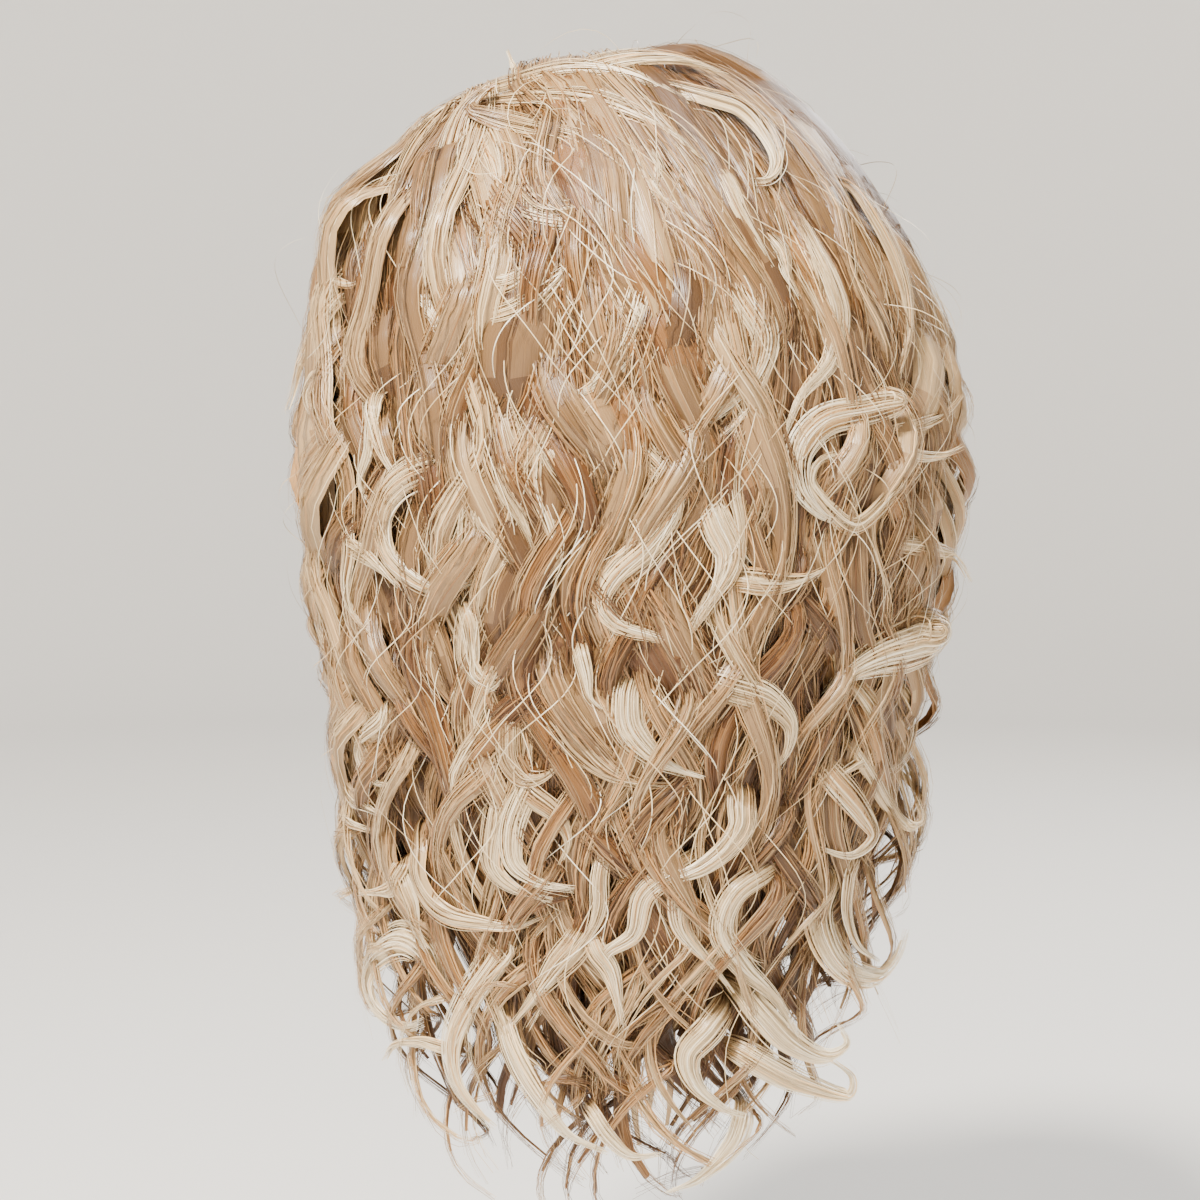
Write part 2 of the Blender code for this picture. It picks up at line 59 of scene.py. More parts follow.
# The outside of the hair
HAIR_RISE = 0.033
HAIR_DROP = 0.474
HAIR_HALF_WIDTH = 0.140
HAIR_BACK = 0.138
HAIR_FRONT = 0.112
DOME_POWER = 1.75
FACE_AZIMUTH = 124.0

# The parting's place, and how much longer than broad the rings of locks round it are
PARTING_X = 0.056
PARTING_Y = -0.020
PARTING_LEVEL = -0.022
PARTING_STRETCH = 1.7

# The locks: how soon they lift off the cap, and the steps that their middle lines are worked out in
LOCK_LIFT = 0.050
STEP = 0.006
STEPS = 120
GUIDE_STEPS = 115

# The waves along a lock: how long one is near the crown, how much tighter they get, and where they have
# grown full
WAVE_LENGTH = 0.118
WAVE_TIGHTENING = 1.6
WAVES_FROM = 0.05
WAVES_FULL = 0.20

# The outline: strands are drawn in softly past this share of the hair's reach, the dome leans to the
# parting's side, the hair comes no nearer to the head than the clear height, and tips under the lowest
# level are drawn up
OUTER_LIMIT = 0.98
OUTER_GIVE = 0.80
DOME_LEAN = 0.010
CLEAR_HEIGHT = 0.075
LOWEST = -0.466

EQUATOR = -HEAD_CROWN

# The photo's picture plane: its scale, the middle of its picture and the camera's distance and elevation
PHOTO_SCALE = 0.00044
PHOTO_MIDDLE = 600.0
AIM = (0.011, 0.0, -0.214)
CAMERA_DISTANCE = 1.25
CAMERA_ELEVATION = 6.0

# How wide a strand is, how far a standout curl goes on under its neighbours, how much nearer or farther
# than its middle it gets, how much painted highlight hair gets for standing out and painted shade for
# lying deep, and the name of the strand directions
STRAND_WIDTH = 0.00044
ROOT_PIXELS = 30
MAIN_DEPTH = 0.018
PAINTED_LIGHT_OUT = 2.4
MARKS = "along_strands"

# Locks broader than this are the soft mass, and the curls at the back lie calmer under the standout ones
BODY_HALF = 0.012
CALM_BACK = 0.08

# The body of a lock: its columns, and how much of the lock's width it fills in the soft mass and in a curl
BODY_COLUMNS = 6
MASS_FILL = 0.90
CURL_FILL = 0.74

# The tone of a lock, with painted shade making it darker the deeper it lies: the deep and the high one, the
# height of the deep one, over how much height it rises, how much it varies, how much paler a lock gets
# towards its tip, and how far a standout curl's tone lies under the listed one
SHADED_DEEP_TONE = 0.04
HIGH_TONE = 0.29
DEEP_HEIGHT = 0.62
TONE_HEIGHTS = 0.34
TONE_SPREAD = 0.15
PALER_ALONG = 0.16
MAIN_TONE_DROP = 0.37

# How many single strands stand off the outline, how many locks hang next to the head, and the widths of the
# lace's threads and of the bands inside the cap
STRAYS = 700
INNER_LOCKS = 44
LACE_THREAD = 0.00038
WEFT_WIDTH = 0.0045

# The hair's gloss, and its grooves: how fine across and along it, how deep and how strong
HAIR_ROUGHNESS = 0.32
HAIR_ANISOTROPY = 0.6
GROOVES = (2300, 26, 1)
GROOVE_DEPTH = 0.0004
GROOVE_STRENGTH = 0.9

# The lights, each with its place, size, power and colour, and the light from all round
LIGHTS = [
    ("key", (0.8, 1.5, 1.8), 0.40, 228, (1.0, 0.93, 0.83)),
    ("fill", (-1.6, 1.5, 0.4), 1.2, 7, (0.95, 0.98, 1.0)),
    ("top", (0.0, 0.1, 1.7), 0.9, 24, (1.0, 1.0, 1.0)),
    ("rim", (-1.0, -1.5, 0.8), 0.8, 22, (1.0, 1.0, 1.0)),
]
WORLD_COLOUR = (0.93, 0.94, 0.96, 1)
WORLD_STRENGTH = 0.20

# The pieces that the rows of locks are divided into, each up to an azimuth
SECTORS = [
    ("right_front", -111),
    ("right_side", -70),
    ("right_back", -32),
    ("middle_back", 8),
    ("left_back", 55),
    ("left_side", 180),
]

rng = np.random.default_rng(11)


def table(name, columns, rows):
    """A table as a record of named columns, each an array."""
    return namedtuple(name, columns)(*(np.array(column, float) for column in zip(*rows)))


# The cap under the head's widest level, as shares of the cap's drop and of the head's sizes
HEAD_SECTIONS = table(
    "HeadSections",
    "drop breadth back front",
    [
        (HEAD_CROWN / CAP_DROP, 1.00, 1.00, 1.00),
        (0.80, 0.96, 0.92, 0.98),
        (1.00, 0.86, 0.72, 0.94),
        (1.15, 0.84, 0.66, 0.92),
    ],
)

# The cap's edge, as shares of the cap's drop
RIM = table(
    "Rim",
    "azimuth drop",
    [
        (0, 1.00),
        (28, 0.98),
        (52, 0.82),
        (72, 0.65),
        (92, 0.62),
        (106, 0.74),
        (118, 0.62),
        (134, 0.43),
        (152, 0.35),
        (180, 0.31),
    ],
)

# The outside of the hair under the widest level, as shares of the hair's drop, half-width, back and front
OUTSIDE = table(
    "Outside",
    "drop width back front",
    [
        (0.22, 0.97, 0.97, 1.00),
        (0.30, 1.00, 1.00, 1.00),
        (0.42, 0.99, 1.00, 0.98),
        (0.52, 0.90, 0.97, 0.93),
        (0.66, 0.88, 0.92, 0.88),
        (0.76, 0.82, 0.84, 0.80),
        (0.87, 0.80, 0.76, 0.72),
        (0.95, 0.68, 0.66, 0.62),
        (1.00, 0.52, 0.54, 0.54),
    ],
)

# The hollow inside the hair, as shares of the hair's drop and of the head's sizes
HOLLOW = table(
    "Hollow",
    "drop breadth back front",
    [
        (0.22, 1.00, 1.00, 1.00),
        (0.32, 0.96, 0.92, 0.98),
        (0.39, 0.90, 0.76, 0.94),
        (0.48, 0.94, 0.70, 0.90),
        (0.64, 0.88, 0.64, 0.82),
        (0.80, 0.70, 0.50, 0.66),
        (1.00, 0.28, 0.24, 0.40),
    ],
)

# Where the hair ends round the head, as shares of the hair's drop
HEM = table(
    "Hem",
    "azimuth drop",
    [
        (-180, 0.78),
        (-120, 0.80),
        (-90, 0.83),
        (-60, 0.90),
        (-30, 0.97),
        (-10, 1.00),
        (10, 0.99),
        (35, 0.97),
        (65, 0.93),
        (95, 0.86),
        (125, 0.82),
        (180, 0.80),
    ],
)

# The rows of locks, first the soft mass under the curls and then the curls: how many, from and to which
# azimuth, where on the meridian they are tied, how high they lie, how much of the way to the hem they
# reach, how wide they wave, half their width, their number of strands and the points along each
LOCK_ROWS = table(
    "LockRows",
    "count azimuth_from azimuth_to root height tip radius half strands points",
    [
        (34, -180, 180, 0.12, 0.72, 0.62, 0.004, 0.0190, 12, 32),
        (16, 30, 140, 0.50, 0.74, 0.85, 0.004, 0.0170, 14, 32),
        (34, -140, 140, 0.50, 0.72, 0.92, 0.007, 0.0180, 12, 32),
        (30, -122, 122, 0.95, 0.68, 0.96, 0.008, 0.0160, 12, 32),
        (22, 112, 248, 0.56, 0.60, 0.80, 0.005, 0.0130, 10, 32),
        (7, 112, 127, 1.00, 0.40, 0.92, 0.009, 0.0110, 10, 32),
        (7, -127, -112, 1.00, 0.40, 0.92, 0.009, 0.0110, 10, 32),
        (26, -170, 170, 0.22, 0.82, 0.80, 0.006, 0.0150, 16, 32),
        (30, -130, 130, 0.60, 0.81, 0.97, 0.009, 0.0130, 16, 32),
        (14, -180, 180, 0.12, 0.95, 0.80, 0.010, 0.0088, 19, 44),
        (18, -175, 175, 0.30, 0.96, 0.88, 0.011, 0.0084, 19, 44),
        (10, 35, 140, 0.46, 0.94, 0.92, 0.011, 0.0080, 18, 44),
        (20, -150, 150, 0.48, 0.95, 0.95, 0.013, 0.0078, 18, 46),
        (14, 122, 238, 0.32, 0.88, 0.84, 0.0085, 0.0085, 18, 44),
        (16, 114, 246, 0.48, 0.86, 0.88, 0.0095, 0.0080, 18, 44),
        (16, 110, 250, 0.62, 0.78, 0.90, 0.0095, 0.0075, 18, 46),
        (24, -128, 128, 0.68, 0.94, 0.98, 0.014, 0.0075, 18, 46),
        (26, -126, 126, 0.90, 0.92, 1.00, 0.015, 0.0072, 18, 46),
        (22, -122, 122, 1.12, 0.88, 1.00, 0.016, 0.0068, 18, 46),
        (16, -118, 118, 1.35, 0.82, 1.00, 0.016, 0.0065, 18, 48),
    ],
)

# The rings of locks tied round the parting: how many, how far from it, and the rest as in the rows above
PARTING_ROWS = table(
    "PartingRows",
    "count distance height tip radius half strands points",
    [
        (14, 0.005, 0.80, 0.50, 0.004, 0.0120, 18, 28),
        (16, 0.014, 0.84, 0.66, 0.005, 0.0110, 20, 30),
        (18, 0.028, 0.90, 0.84, 0.008, 0.0095, 18, 38),
    ],
)

# The locks that the photo shows best, each a width and a tone, then its places in the photo's pixels from
# root to tip
MAIN_LOCKS = [
    (26, 0.78, [(468, 100), (436, 118), (404, 150), (380, 190), (364, 240)]),
    (24, 0.72, [(458, 106), (424, 138), (400, 182), (392, 232), (398, 280)]),
    (28, 0.80, [(474, 98), (520, 82), (575, 70), (630, 76), (690, 104)]),
    (26, 0.84, [(480, 106), (540, 98), (600, 102), (660, 128), (712, 170)]),
    (26, 0.74, [(476, 112), (530, 128), (585, 140), (640, 175), (680, 225)]),
    (24, 0.78, [(470, 112), (492, 150), (500, 196), (486, 236)]),
    (8, 0.85, [(522, 92), (514, 68), (507, 50)]),
    (30, 0.90, [(465, 112), (437, 196), (417, 267), (420, 295), (437, 323), (460, 365)]),
    (20, 0.85, [(524, 140), (519, 180), (541, 208), (575, 208), (597, 182), (597, 146), (575, 121)]),
    (22, 0.80, [(448, 239), (471, 275), (504, 283), (538, 264), (572, 244)]),
    (18, 0.85, [(493, 196), (527, 216), (575, 224), (617, 219)]),
    (20, 0.80, [(476, 326), (519, 311), (555, 281), (583, 247)]),
    (30, 0.98, [(648, 270), (639, 309), (625, 345), (597, 384), (563, 401)]),
    (12, 0.92, [(625, 130), (636, 168), (650, 196), (658, 168), (650, 152)]),
    (24, 0.85, [(560, 80), (600, 66), (639, 59), (686, 62), (728, 76)]),
    (22, 0.92, [(650, 84), (706, 98), (740, 109), (765, 135), (776, 163), (768, 180), (745, 182)]),
    (16, 0.80, [(725, 180), (740, 213), (773, 269)]),
    (12, 0.85, [(780, 250), (787, 275), (799, 300)]),
    (26, 0.88, [(790, 215), (813, 253), (827, 281), (838, 317), (829, 362), (799, 398), (782, 440)]),
    (26, 0.85, [(728, 262), (740, 295), (762, 337), (751, 379), (717, 413), (672, 440)]),
    (12, 0.92, [(772, 340), (765, 370), (751, 404), (717, 440)]),
    (24, 0.75, [(850, 190), (877, 224), (902, 281), (908, 331), (897, 379)]),
    (16, 0.85, [(361, 224), (339, 241), (330, 261), (339, 280), (360, 284), (372, 270)]),
    (24, 0.88, [(340, 300), (305, 356), (294, 393), (286, 415)]),
    (26, 0.90, [(470, 462), (437, 465), (401, 482), (384, 512), (389, 554), (415, 580),
        (443, 591), (474, 580)]),
    (16, 0.85, [(470, 450), (476, 487), (482, 521), (496, 540), (513, 563)]),
    (18, 0.80, [(538, 410), (535, 448), (535, 487), (549, 526), (558, 560), (547, 577)]),
    (14, 0.90, [(549, 453), (572, 487), (594, 501)]),
    (24, 0.92, [(690, 330), (684, 366), (653, 423), (642, 442), (667, 476), (673, 510),
        (648, 549), (617, 577), (605, 602), (617, 622), (650, 633), (681, 640), (701, 605), (720, 571)]),
    (20, 0.82, [(352, 520), (350, 554), (347, 583), (353, 611), (373, 636)]),
    (16, 0.85, [(322, 610), (328, 641), (345, 664), (373, 675)]),
    (16, 0.85, [(466, 600), (471, 627), (474, 653), (476, 675), (499, 686)]),
    (24, 0.98, [(630, 670), (625, 698), (628, 728), (653, 757), (678, 770), (705, 778)]),
    (10, 0.90, [(580, 650), (586, 675), (591, 698), (603, 709)]),
    (28, 0.95, [(900, 400), (869, 411), (821, 423), (799, 451), (801, 487), (824, 515), (852, 524)]),
    (16, 0.85, [(900, 480), (886, 498), (852, 526), (829, 510), (810, 482), (818, 462), (841, 453)]),
    (14, 0.86, [(768, 369), (754, 414), (740, 442), (734, 487), (740, 526), (734, 569),
        (712, 599), (695, 627), (681, 641)]),
    (28, 0.95, [(705, 500), (717, 526), (728, 554), (717, 588), (697, 616)]),
    (44, 0.98, [(938, 630), (908, 645), (877, 655), (843, 675), (822, 700)]),
    (22, 0.85, [(700, 675), (728, 684), (768, 698), (790, 723), (787, 751), (773, 770)]),
    (18, 0.88, [(740, 580), (768, 583), (799, 580), (824, 569)]),
    (14, 0.80, [(905, 545), (928, 549), (953, 557), (970, 583)]),
    (10, 0.88, [(895, 450), (925, 456), (947, 453), (964, 445)]),
    (10, 0.88, [(915, 425), (947, 411), (963, 392)]),
    (30, 0.98, [(440, 985), (429, 954), (404, 940), (379, 956), (370, 982), (381, 1013),
        (407, 1027), (426, 1021)]),
    (14, 0.90, [(440, 1048), (421, 1043), (395, 1046), (384, 1063)]),
    (26, 0.92, [(515, 925), (496, 956), (468, 999), (452, 1041), (457, 1083), (482, 1116), (496, 1128)]),
    (24, 0.92, [(540, 770), (524, 796), (513, 830), (516, 864), (541, 883), (575, 889)]),
    (18, 0.86, [(505, 790), (496, 825), (494, 867), (516, 889), (553, 900)]),
    (20, 0.90, [(503, 1000), (508, 1035), (519, 1063), (539, 1097), (567, 1133), (609, 1153)]),
    (20, 0.92, [(700, 850), (679, 869), (645, 895), (634, 934), (606, 956), (617, 982)]),
    (14, 0.88, [(590, 1110), (609, 1139), (631, 1156), (662, 1153)]),
    (16, 0.95, [(742, 1105), (738, 1133), (721, 1158), (693, 1181), (665, 1192)]),
    (22, 0.90, [(738, 780), (742, 808), (742, 825), (728, 847), (700, 869), (669, 881), (638, 906)]),
    (24, 0.94, [(790, 850), (767, 869), (733, 895), (722, 928), (742, 965), (773, 996), (801, 1041)]),
    (16, 0.88, [(682, 865), (677, 895), (680, 928), (711, 965), (733, 993)]),
    (34, 0.98, [(850, 845), (831, 872), (817, 912), (829, 951), (851, 973), (876, 976),
        (896, 956), (906, 928)]),
    (16, 0.88, [(852, 858), (848, 878), (846, 912), (857, 945), (879, 962)]),
    (20, 0.92, [(815, 760), (837, 782), (860, 811), (871, 836), (851, 855), (815, 847)]),
    (18, 0.88, [(845, 740), (865, 766), (885, 802), (907, 825), (921, 819), (913, 794)]),
    (24, 0.92, [(735, 985), (759, 1013), (789, 1043), (823, 1057), (846, 1043), (837, 1024)]),
    (18, 0.90, [(730, 1045), (761, 1063), (801, 1083), (848, 1094), (851, 1077), (826, 1057)]),
    (20, 0.90, [(725, 1000), (711, 1027), (688, 1055), (694, 1083), (722, 1108), (745, 1116)]),
    (14, 0.85, [(318, 376), (310, 390), (313, 410), (330, 410), (345, 396)]),
    (16, 0.88, [(372, 405), (375, 428), (382, 452), (395, 475)]),
    (14, 0.84, [(380, 400), (373, 419), (369, 452), (362, 484), (375, 508)]),
    (14, 0.84, [(345, 540), (360, 551), (380, 567), (401, 588)]),
    (14, 0.80, [(470, 500), (467, 519), (464, 549), (454, 571), (440, 586)]),
    (18, 0.80, [(503, 452), (510, 488), (523, 519), (536, 553)]),
    (16, 0.86, [(468, 600), (469, 625), (469, 662), (488, 684), (503, 673), (510, 651)]),
    (12, 0.84, [(312, 622), (323, 645), (341, 664), (367, 673)]),
    (16, 0.80, [(500, 660), (484, 692), (475, 720), (480, 745)]),
    (20, 0.86, [(392, 706), (384, 720), (363, 740), (363, 763), (380, 783), (400, 784)]),
    (14, 0.84, [(350, 788), (356, 800), (369, 807), (391, 818)]),
    (12, 0.84, [(346, 812), (352, 824), (378, 832)]),
    (14, 0.90, [(398, 872), (393, 887), (380, 891), (358, 891)]),
    (22, 0.82, [(425, 820), (421, 846), (419, 872), (432, 900), (451, 915), (482, 922),
        (516, 926), (545, 915)]),
    (18, 0.86, [(405, 880), (412, 904), (417, 928), (430, 954)]),
    (16, 0.72, [(520, 780), (532, 794), (558, 815), (569, 841), (560, 865)]),
    (14, 0.80, [(604, 850), (599, 880), (599, 906), (590, 932), (569, 959)]),
    (20, 0.74, [(512, 705), (508, 731), (510, 761), (525, 779), (545, 776), (564, 759)]),
    (24, 0.66, [(545, 695), (562, 720), (584, 748), (608, 770), (638, 783), (670, 785)]),
    (18, 0.86, [(590, 930), (597, 950), (610, 969), (618, 998), (623, 1028)]),
    (22, 0.80, [(585, 930), (575, 945), (558, 965), (536, 995), (510, 1028)]),
    (20, 0.82, [(860, 690), (875, 720), (868, 755), (840, 775)]),
    (16, 0.82, [(905, 690), (912, 725), (903, 757), (884, 775)]),
]

# Tones of the strands from the deepest brown to the palest tip, as linear colours
TONES = [
    (0.100, 0.048, 0.018),
    (0.185, 0.100, 0.040),
    (0.300, 0.178, 0.078),
    (0.430, 0.278, 0.132),
    (0.570, 0.398, 0.206),
    (0.710, 0.535, 0.306),
    (0.840, 0.680, 0.430),
    (0.940, 0.822, 0.595),
]

# The warm tones are the plain ones times this
WARMTH = (1.08, 0.88, 0.66)


def mix(a, b, share):
    return a + (b - a) * share


def eased(share):
    """A share held between 0 and 1, starting and ending softly."""
    share = np.clip(share, 0, 1)
    return share * share * (3 - 2 * share)


def read(rows, column, place):
    """A column of the table at a place in its first column."""
    return np.interp(place, rows[0], getattr(rows, column))


def turned(azimuth):
    """The azimuth from -180 to 180."""
    return (np.asarray(azimuth, float) + 180) % 360 - 180


def unit(vectors):
    return vectors / np.maximum(np.linalg.norm(vectors, axis=-1, keepdims=True), 1e-9)


def level_of(meridian):
    """The level at a place on the cap's meridian."""
    over = np.cos(np.radians(90 * np.minimum(meridian, 1)))
    return EQUATOR + HEAD_CROWN * over - HEAD_CROWN * np.maximum(meridian - 1, 0)


def meridian_of(level):
    """The place on the cap's meridian at a level."""
    above = np.degrees(np.arccos(np.clip((level - EQUATOR) / HEAD_CROWN, 0, 1))) / 90
    return np.where(level > EQUATOR, above, 1 + (EQUATOR - level) / HEAD_CROWN)


def rim_meridian(azimuth):
    return meridian_of(-CAP_DROP * read(RIM, "drop", np.abs(turned(azimuth))))


def head_points(azimuths, meridians, out):
    """Points that lie out from the inside of the cap."""
    level = level_of(meridians)
    below = -np.minimum(level, EQUATOR) / CAP_DROP
    flat = np.sin(np.radians(90 * np.minimum(meridians, 1)))
    angle = np.radians(azimuths)
    behind = np.cos(angle) > 0
    reach = np.where(behind, HEAD_BACK, HEAD_FRONT)
    share = np.where(behind, read(HEAD_SECTIONS, "back", below), read(HEAD_SECTIONS, "front", below))
    x = (HEAD_HALF_BREADTH * read(HEAD_SECTIONS, "breadth", below) + out) * flat * np.sin(angle)
    y = (reach * share + out) * flat * np.cos(angle)
    z = level + out * np.cos(np.radians(90 * np.minimum(meridians, 1)))
    return np.stack([x, y, z], axis=-1)


def layer_sizes(level, height):
    """Half-width, and reach to the back and the front, of the hair's layer at this level and height."""
    drop = -np.minimum(level, EQUATOR) / HAIR_DROP
    inner = (
        HEAD_HALF_BREADTH * read(HOLLOW, "breadth", drop),
        HEAD_BACK * read(HOLLOW, "back", drop),
        HEAD_FRONT * read(HOLLOW, "front", drop),
    )
    outer = (
        HAIR_HALF_WIDTH * read(OUTSIDE, "width", drop),
        HAIR_BACK * read(OUTSIDE, "back", drop),
        HAIR_FRONT * read(OUTSIDE, "front", drop),
    )
    return [mix(a, b, height) for a, b in zip(inner, outer)]


def beyond(points, height):
    """How far out each point lies, as a share of its layer's reach there, with the layer's sizes."""
    x, y, z = np.moveaxis(points, -1, 0)
    width, back, front = layer_sizes(z, height)
    reach = np.where(y > 0, back, front)
    rise = HEAD_CROWN + mix(CAP_WALL, HAIR_RISE, height)
    power = mix(2.0, DOME_POWER, height)
    flat = np.hypot(x / width, y / reach)
    up = np.maximum(z - EQUATOR, 0) / rise
    return (flat**power + up**power) ** (1 / power), width, reach, rise, power, flat, up


def scaled_to(points, share):
    """The points moved towards the head's middle, or its axis under it, by dividing by a share."""
    moved = points / share[..., None]
    lifted = EQUATOR + (points[..., 2] - EQUATOR) / share
    moved[..., 2] = np.where(points[..., 2] > EQUATOR, lifted, points[..., 2])
    return moved


def on_layer(points, height):
    return scaled_to(points, beyond(points, height)[0])


def drawn_in(points, limit):
    """The points with what stands out past the limit drawn in, and the dome leaned to the parting's side."""
    share = beyond(points, 1.0)[0]
    excess = np.maximum(share - limit, 0)
    kept = scaled_to(points, share / np.maximum(share - excess * (1 - OUTER_GIVE), 1e-6))
    level = points[..., 2]
    lean = eased((level + 0.10) / 0.06) * (1 - eased((level - 0.005) / 0.03)) * eased((share - 0.7) / 0.3)
    kept[..., 0] += DOME_LEAN * lean
    return kept


def kept_clear(points):
    """The points with what would cut into the cap, or hang too low, moved out of it or up."""
    kept = scaled_to(points, np.minimum(beyond(points, CLEAR_HEIGHT)[0], 1.0))
    kept[..., 2] = np.maximum(kept[..., 2], mix(kept[..., 2], LOWEST, 0.6))
    return kept


def outward(points, height):
    """The layer's outward direction at each point."""
    _, width, reach, rise, power, flat, up = beyond(points, height)
    steep = np.maximum(flat, 1e-3) ** (power - 2)
    x = steep * points[..., 0] / width**2
    y = steep * points[..., 1] / reach**2
    return unit(np.stack([x, y, up ** (power - 1) / rise], axis=-1))


def layer_points(azimuths, meridians, height):
    """Points of the hair's layer over these places on the cap."""
    level = level_of(meridians)
    flat = np.sin(np.radians(90 * np.minimum(meridians, 1)))
    angle = np.radians(azimuths)
    width, back, front = layer_sizes(level, 0.0)
    reach = np.where(np.cos(angle) > 0, back, front)
    place = np.stack([width * flat * np.sin(angle), reach * flat * np.cos(angle), level + 0 * angle], axis=-1)
    return on_layer(place, height)


def combed(points, heights):
    """The way that hair is combed at each point: over the head away from the parting, and then down."""
    out = outward(points, heights)
    swept = unit(points[:, :2] - np.array([PARTING_X, PARTING_Y]))
    comb = np.concatenate([mix(swept, unit(points[:, :2]), 0.45), 0.15 + 0 * out[:, 2:]], axis=1)
    beside = eased((np.abs(points[:, 0]) / HEAD_HALF_BREADTH - 0.4) / 0.8)
    behind = eased((points[:, 1] / HEAD_BACK + 0.5) / 1.2)
    below = eased((-points[:, 2] / HEAD_CROWN - 0.1) / 0.75)
    azimuth = np.degrees(np.arctan2(points[:, 0], points[:, 1]))
    ahead = eased((np.abs(azimuth) - FACE_AZIMUTH) / 16)
    fall = np.maximum(0.08 + 0.92 * np.maximum(beside, behind) * below, beside * 0.85) * (1 - ahead)
    way = comb * (1 - fall)[:, None] * 0.8 + np.array([0, 0, -1.0]) * fall[:, None]
    side = np.where(points[:, 0] < 0.75 * PARTING_X, -1.0, 1.0)
    way += np.stack([1.4 * side, 0.9 + 0 * side, -0.5 + 0 * side], axis=1) * ahead[:, None]
    return unit(way - out * (way * out).sum(1, keepdims=True))


def lock_lines(azimuths, roots, heights, tips):
    """The middle line of each lock, STEPS points long, from its root to its tip, before it is wound."""
    points = layer_points(azimuths, roots, 0.10 * heights)
    way = combed(points, heights)
    line = [points]
    for step in range(1, GUIDE_STEPS):
        height = heights * mix(0.10, 1.0, eased(step * STEP / LOCK_LIFT))
        way = unit(mix(way, combed(points, height), 0.30))
        points = on_layer(points + way * STEP, height)
        line.append(points)
    spaced = []
    for path, tip in zip(np.stack(line, axis=1), tips):
        around = np.degrees(np.arctan2(path[:, 0], path[:, 1]))
        reached = -path[:, 2] > tip * HAIR_DROP * read(HEM, "drop", around)
        last = int(np.argmax(reached)) if reached.any() else len(path) - 1
        places = np.linspace(0, max(last, 12), STEPS)
        spaced.append(np.stack([np.interp(places, range(len(path)), path[:, k]) for k in range(3)], axis=1))
    return np.stack(spaced)


def run_of(path):
    """How far along the path each of its points is."""
    return np.concatenate([[0], np.cumsum(np.linalg.norm(np.diff(path, axis=0), axis=1))])


def wave_field(azimuth):
    """How far the waves are shifted round the head, in turns, so that neighbours wave together."""
    return 0.42 * np.sin(2 * azimuth + 0.7) + 0.26 * np.sin(5 * azimuth + 2.1) + 0.10 * np.sin(11 * azimuth)


def wound(line, from_crown, height, radius, shift, lean):
    """The line laid in waves that grow into curls towards its tip."""
    out = outward(line, np.full(len(line), height))
    along = unit(np.gradient(line, axis=0))
    across = unit(np.cross(along, out))
    gone = from_crown + run_of(line)
    share = run_of(line) / run_of(line)[-1]
    azimuth = np.arctan2(line[:, 0], line[:, 1])
    grown = radius * mix(0.18, 1.0, eased((gone - WAVES_FROM) / WAVES_FULL))
    grown = grown * (1 + 0.35 * eased((share - 0.8) / 0.2))
    turns = gone / (WAVE_LENGTH * rng.uniform(0.9, 1.15)) + WAVE_TIGHTENING * gone**2
    phase = 2 * math.pi * (turns + wave_field(azimuth) + shift)
    curl = eased((gone - 0.26) / 0.24) * np.minimum(1, share * 1.4)
    hand = 1 if rng.random() < 0.5 else -1
    beside = eased((np.abs(np.degrees(azimuth)) - 45) / 30)
    hand *= 1 + 0.8 * beside
    raised = hand * np.sin(phase) * mix(0.35, 0.75, curl) * (1 - 0.4 * lean * curl)
    raised += 0.32 * (1 - curl) * np.cos(2 * phase + rng.uniform(0, 6))
    drawn = lean * curl * np.sin(phase)
    path = line + grown[:, None] * (
        np.cos(phase)[:, None] * across + raised[:, None] * out + drawn[:, None] * along
    )
    return drawn_in(path, OUTER_LIMIT), out


def sampled(path, count):
    """Places along the path, as positions in its list, closer together where it bends more."""
    along = unit(np.gradient(path, axis=0))
    bend = np.linalg.norm(np.gradient(along, axis=0), axis=1)
    step = np.linalg.norm(np.gradient(path, axis=0), axis=1)
    weight = 0.45 * step / step.sum() + 0.55 * bend / max(bend.sum(), 1e-6)
    total = np.concatenate([[0], np.cumsum((weight[1:] + weight[:-1]) / 2)])
    return np.interp(np.linspace(0, total[-1], count), total, np.arange(len(path)))


def at(values, places):
    """The values read at fractional positions of their list."""
    low = np.clip(np.floor(places).astype(int), 0, len(values) - 2)
    share = (places - low)[..., None]
    return values[low] * (1 - share) + values[low + 1] * share


def placed(name, data):
    """The mesh, light, camera or empty as an object of the scene."""
    obj = bpy.data.objects.new(name, data)
    bpy.context.scene.collection.objects.link(obj)
    return obj


def surface(name, points, faces, material):
    """A smooth mesh of one material."""
    mesh = bpy.data.meshes.new(name)
    mesh.from_pydata(points, [], faces)
    mesh.shade_smooth()
    mesh.materials.append(material)
    return placed(name, mesh)


